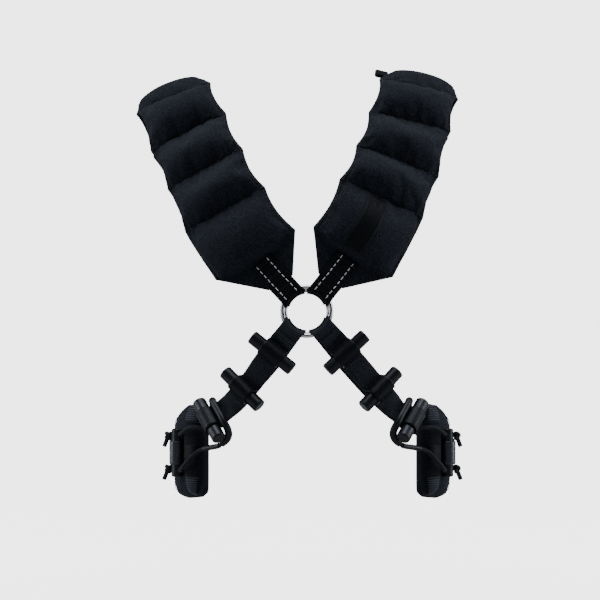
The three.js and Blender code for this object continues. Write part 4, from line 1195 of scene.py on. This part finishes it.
def build_rear_strap(side_name):
    side = SIDES[side_name]
    back = [(vec(WAIST_X / 2 + side * spread, y, z), vec(side * nx, ny, 0))
            for spread, y, z, nx, ny in REAR_STRAP]
    on_pad = []
    for t in np.linspace(0, 1, 10):
        angle = lerp(REAR_STRAP_ON_PAD["angle"], ROD["angle"], t)
        z = lerp(REAR_STRAP_ON_PAD["z"], ROD["z"], float(smooth(0, 0.6, t)))
        place = waist_point(side_name, angle, STRAP_ON_PAD, z)
        on_pad.append((place, waist_point(side_name, angle, STRAP_ON_PAD + 1, z) - place))
    route = Route([*ring_stations(REAR_RING, back[0][0].copy(), vec(0, 1, 0)), *back, *on_pad], -side)
    end, lift = route.total, WEB_THICK / 2 + GAP + ROD["radius"]
    layer = WEB_THICK + LAYER_GAP
    path = [(RING_RADIUS + 14, WRAP_RADIUS - 1), *RING_WRAP, (RING_RADIUS + 10, -1), (end, 0),
            *arc((end, lift), ROD_WRAP_RADIUS, -60, 150), (end - ROD_WRAP_RADIUS, lift + 1.2),
            (end - 15, layer), (end - 42, layer)]
    webbing = Webbing(route, path, 4)
    strap = webbing.skin(f"{side_name}_rear_webbing", STRAP_WIDTH, LOOKS["webbing"])
    # Where the strap wraps the rod it takes a glossier copy of its webbing whose lighter colour is painted
    # light.
    webbing.look_where(strap, LOOKS["wrap_painted_light"], lambda s, height: s > end - 14 and height > 2.5)
    ride_on(strap, "harness", "webbing", f"{side_name}_rear_strap")
    off, half = WEB_THICK / 2, STRAP_WIDTH / 2 - 2
    total = webbing.along[-1]
    rows = []
    for along in (1.8, 8, total - 2, total - 9, total - 24):
        rows += cross_stitch(webbing, along, half, off)
    sew(f"{side_name}_rear_strap_stitches", rows, 0.36, "harness", "webbing")


# ---------------------------------------------------------------- elastic loops

def fine_line(points, count):
    """Evenly spaced points on the smooth curve through a few points."""
    t = np.linspace(0, len(points) - 1, 400)
    length = lengths_of(catmull(points, t))
    return catmull(points, np.interp(np.linspace(0, length[-1], count), length, t))


def grip_points(side_name):
    route = LOWER_ROUTES[side_name]
    mark = toggle_marks(route)[2]
    centre = route.at(mark, 0, 0)[0]
    along = route.tangent(np.array([mark]))[0]
    lift, across = (route.at(mark, *step)[0] - centre for step in ((1, 0), (0, 1)))
    return np.array([centre + along * s + lift * l + across * a for s, l, a in GRIP_ROUTE])


def build_grip(side_name):
    """A hose with rounded ends round its stretch of cord."""
    line = fine_line(grip_points(side_name), 90)
    a, b = frames_along(line)
    turn = turns(28)
    circle = a[:, None] * np.cos(turn)[None, :, None] + b[:, None] * np.sin(turn)[None, :, None]
    end_radius = HOSE_RADIUS - 0.35
    outer = line[:, None] + circle * HOSE_RADIUS
    bore = line[:, None] + circle * HOSE_BORE
    rings = [line[0] + circle[0] * end_radius, *outer, line[-1] + circle[-1] * end_radius, *bore[::-1]]
    along, around = np.zeros(len(rings)), np.zeros(len(turn) + 1)
    hose = wrapped(f"{side_name}_grip_tube", rings, along, around, LOOKS["rubber"], closed=True)
    hose.data.set_sharp_from_angle(angle=math.radians(50))
    ride_on(hose, f"{side_name}_grip", "hose_rubber", f"{side_name}_grip_hose")
    cord = tube(f"{side_name}_grip_cord", line, CORD_RADIUS, LOOKS["cord"], 20)
    ride_on(cord, f"{side_name}_grip", "cord", f"{side_name}_loop_middle")


def leg_points(side_name, end):
    grip = grip_points(side_name)
    tip, before = (grip[0], grip[1]) if end == "upper" else (grip[-1], grip[-2])
    outwards = unit(tip - before)
    hole = waist_point(side_name, ROD["angle"], ROD_LIFT, rod_hole_height(end))
    direction = rod_hole_direction(side_name)
    over = [trim_point(side_name, u, v, trim_thickness(u, v) + LEG_OVER_TRIM) for u, v in LEG_CROSSINGS[end]]
    steps = (-ROD["radius"] - 1.8, -ROD["radius"] - 1, 0, ROD["radius"] + 0.6)
    through = [hole + direction * s for s in steps]
    return np.array([tip + outwards * 0.5, tip + outwards * 4, *over, *through])


def build_leg(side_name, end):
    """A stretch of cord that bends between the grip and the harness, with its knot."""
    points = leg_points(side_name, end)
    line = fine_line(points, LEG_POINTS)

    def strands(s, turn):
        return 1 + 0.035 * np.sin(3 * turn + s * 1.9) * np.sin(3 * turn - s * 1.9)

    leg = tube(f"{side_name}_{end}_cord", line, CORD_RADIUS - 0.2, LOOKS["cord"], 24, strands)
    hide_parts(f"{side_name}_loop_{end}_leg")
    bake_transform(leg)
    if end == "lower":
        sleeve_line = line[BLEND_FROM:SLEEVE_TO]
        sleeve = tube(f"{side_name}_{end}_sleeve", sleeve_line, CORD_RADIUS + 0.4, LOOKS["rubber"], 24)
        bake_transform(sleeve)
    build_knot(side_name, end, points[-1])


def build_knot(side_name, end, leg_end):
    """An overhand knot: a trefoil pulled tight, with a short tail."""
    outwards = rod_hole_direction(side_name)
    centre = leg_end + outwards * (KNOT_RADIUS + 0.5)
    tail = unit(vec(SIDES[side_name] * 0.35, 0.2, TAIL_DROP[end]))
    t = np.linspace(0.35, 2 * math.pi - 0.35, 70)
    local = np.stack([np.sin(t) + 2 * np.sin(2 * t), np.cos(t) - 2 * np.cos(2 * t),
                      -1.5 * np.sin(3 * t)], axis=-1)
    a = unit(np.cross(outwards, tail))
    b = np.cross(outwards, a)
    line = centre + (local[:, :1] * a + local[:, 1:2] * b + local[:, 2:] * outwards) * 1.12
    knot = tube(f"{side_name}_{end}_overhand", line, 2.2, LOOKS["cord"], 18)
    ride_on(knot, "harness", "cord", f"{side_name}_{end}_knot")
    start = centre + outwards * 0.5
    tip = start + tail * 2.3 * KNOT_RADIUS + vec(0, 0.6, 0)
    tail_line = fine_line([start, start + tail * KNOT_RADIUS, tip], 24)
    end_piece = tube(f"{side_name}_{end}_tail", tail_line, CORD_RADIUS - 0.1, LOOKS["cord"], 18)
    ride_on(end_piece, "harness", "cord")


# ---------------------------------------------------------------- label and corner loop

LABEL = {"inner": 0.33, "outer": 0.56, "start": Pad.LAST - 1.9, "end": Pad.LAST - 0.98}


def build_label(obj):
    """A ribbon that lies on the right pad's last channel and is sewn down at both ends."""
    pad, tree = PADS["right"], tree_of(obj)
    u = np.linspace(LABEL["inner"], LABEL["outer"], 13)
    v = np.linspace(LABEL["start"], LABEL["end"], 34)

    def lying(a, b, off):
        return dropped(tree, pad.point(a, b, 40), -pad.normal(b)[0], off)

    face, under = (np.array([[lying(a, b, off) for a in u] for b in v]) for off in (0.95, 0.25))
    length, width = lengths_of(face[:, len(u) // 2]), lengths_of(face[len(v) // 2])
    rings = np.concatenate([face, under[:, ::-1]], axis=1)
    label = wrapped("right_pad_ribbon", rings, length, two_sided(width, 30), LOOKS["label"])
    ride_on(label, "harness", "label", "right_pad_label")
    dashes = []
    for b in (v[1], v[-2]):
        for a in np.arange(0.35, 0.53, 0.03):
            dashes.append((lying(a, b, 1.0), lying(a + 0.022, b, 1.0), pad.normal(b)[0]))
    sew("right_ribbon_stitches", dashes, 0.32, "harness", "label")


def build_corner_loop():
    """A scrap of narrow webbing folded double and sewn to the pad's edge."""
    crest = REAR_SEAM_COUNT + 0.75
    edge, inside = (PADS["right"].point(u, crest, 3) for u in (0, 0.5))
    turn = Vector((1, 0, 0)).rotation_difference(Vector(unit(edge - inside))).to_matrix()
    rise, half = 1.7, 5
    path = np.array([(-4, 1.5), (7, rise), *arc((8.2, 0), rise, 90, -90), (7, -rise), (-4, -1.5)])
    length = lengths_of(path)
    t = np.linspace(0, length[-1], 60)
    line = np.stack([np.interp(t, length, path[:, i]) for i in (0, 1)], axis=1)
    step = unit(np.gradient(line, axis=0))
    normal = np.stack([-step[:, 1], step[:, 0]], axis=1)
    columns = np.linspace(-half, half, 9)
    body = 0.5 * (0.35 + 0.65 * quarter_round(half - np.abs(columns)))
    rings = []
    for (x, z), (nx, nz) in zip(line, normal):
        ring = [(x + nx * b, c, z + nz * b) for c, b in zip(columns, body)]
        ring += [(x - nx * b, c, z - nz * b) for c, b in zip(columns[::-1], body)]
        rings.append([edge + np.array(turn @ Vector(p)) for p in ring])
    around = np.append(np.concatenate([columns, columns + 15]), 25.0)
    loop = wrapped("right_corner_tape", rings, t, around, LOOKS["webbing"])
    ride_on(loop, "harness", "webbing", "right_corner_loop")


# ---------------------------------------------------------------- assembly

PADS = {side_name: Pad(side_name) for side_name in SIDES}
LOWER_ROUTES = {side_name: lower_route(side_name) for side_name in SIDES}

build_ring("front_ring", FRONT_RING)
build_ring("rear_ring", REAR_RING)
for side_name in SIDES:
    cushion = build_pad(side_name)
    build_pad_stitches(side_name, cushion)
    if side_name == "right":
        build_label(cushion)
    for place in ("front", "rear"):
        build_tab(side_name, place)
    build_lower_strap(side_name)
    build_toggles(side_name)
    build_side_pad(side_name)
    build_trim(side_name)
    build_side_rod(side_name)
    build_rear_strap(side_name)
    build_grip(side_name)
    for end in ("upper", "lower"):
        build_leg(side_name, end)
build_corner_loop()


# ---------------------------------------------------------------- stage and light

def build_stage():
    """A wide, pale, plain floor."""
    made = Recipe("stage", Roughness=0.95, Specular_IOR_Level=0.1, Emission_Color=(1, 1, 1, 1))
    made.set("Base Color", made.ramp(made.noise(made.place(), 3.0), (0.2, grey(0.34)), (0.8, grey(0.36))))
    seen = made.add("ShaderNodeLightPath").outputs["Is Camera Ray"]
    made.set("Emission Strength", made.maths("MULTIPLY", seen, FLOOR_GLOW))
    points = [(STAGE_RADIUS * math.cos(q), STAGE_RADIUS * math.sin(q), FLOOR) for q in turns(64)]
    make_object("floor", points, [tuple(range(len(points)))], made.material)


def add_light(kind, name, place, target, power, **settings):
    data = bpy.data.lights.new(name, kind)
    data.energy = power
    for key, value in settings.items():
        setattr(data, key, value)
    light = bpy.data.objects.new(name, data)
    light.location = place
    light.rotation_euler = (Vector(target) - Vector(place)).to_track_quat("-Z", "Y").to_euler()
    bpy.context.scene.collection.objects.link(light)


def build_lights():
    """A broad soft sky light from above, a bank to each side, and pale surroundings."""
    centre = (0, 0, -0.22)
    add_light("SUN", "overhead", (0, -0.25, 3), (0, 0, 0), 4.3, angle=math.radians(45))
    for x in (-1, 1):
        add_light("AREA", "bank", (x * 1.7, -0.1, 0.05), centre, 26,
                  shape="RECTANGLE", size=0.6, size_y=1.8)
    add_light("AREA", "fill", (0, -3.2, 0.9), centre, 0.7,
              shape="RECTANGLE", size=2.0, size_y=1.2)
    world = bpy.data.worlds.new("surroundings")
    world.use_nodes = True
    nodes, links = world.node_tree.nodes, world.node_tree.links
    seen, felt = nodes["Background"], nodes.new("ShaderNodeBackground")
    seen.inputs[1].default_value = BACKDROP
    seen.inputs[0].default_value = (1, 1, 1, 1)
    felt.inputs[0].default_value = (0.04, 0.043, 0.05, 1)
    chosen = nodes.new("ShaderNodeMixShader")
    links.new(nodes.new("ShaderNodeLightPath").outputs["Is Camera Ray"], chosen.inputs[0])
    links.new(felt.outputs[0], chosen.inputs[1])
    links.new(seen.outputs[0], chosen.inputs[2])
    links.new(chosen.outputs[0], nodes["World Output"].inputs[0])
    bpy.context.scene.world = world


build_stage()
build_lights()
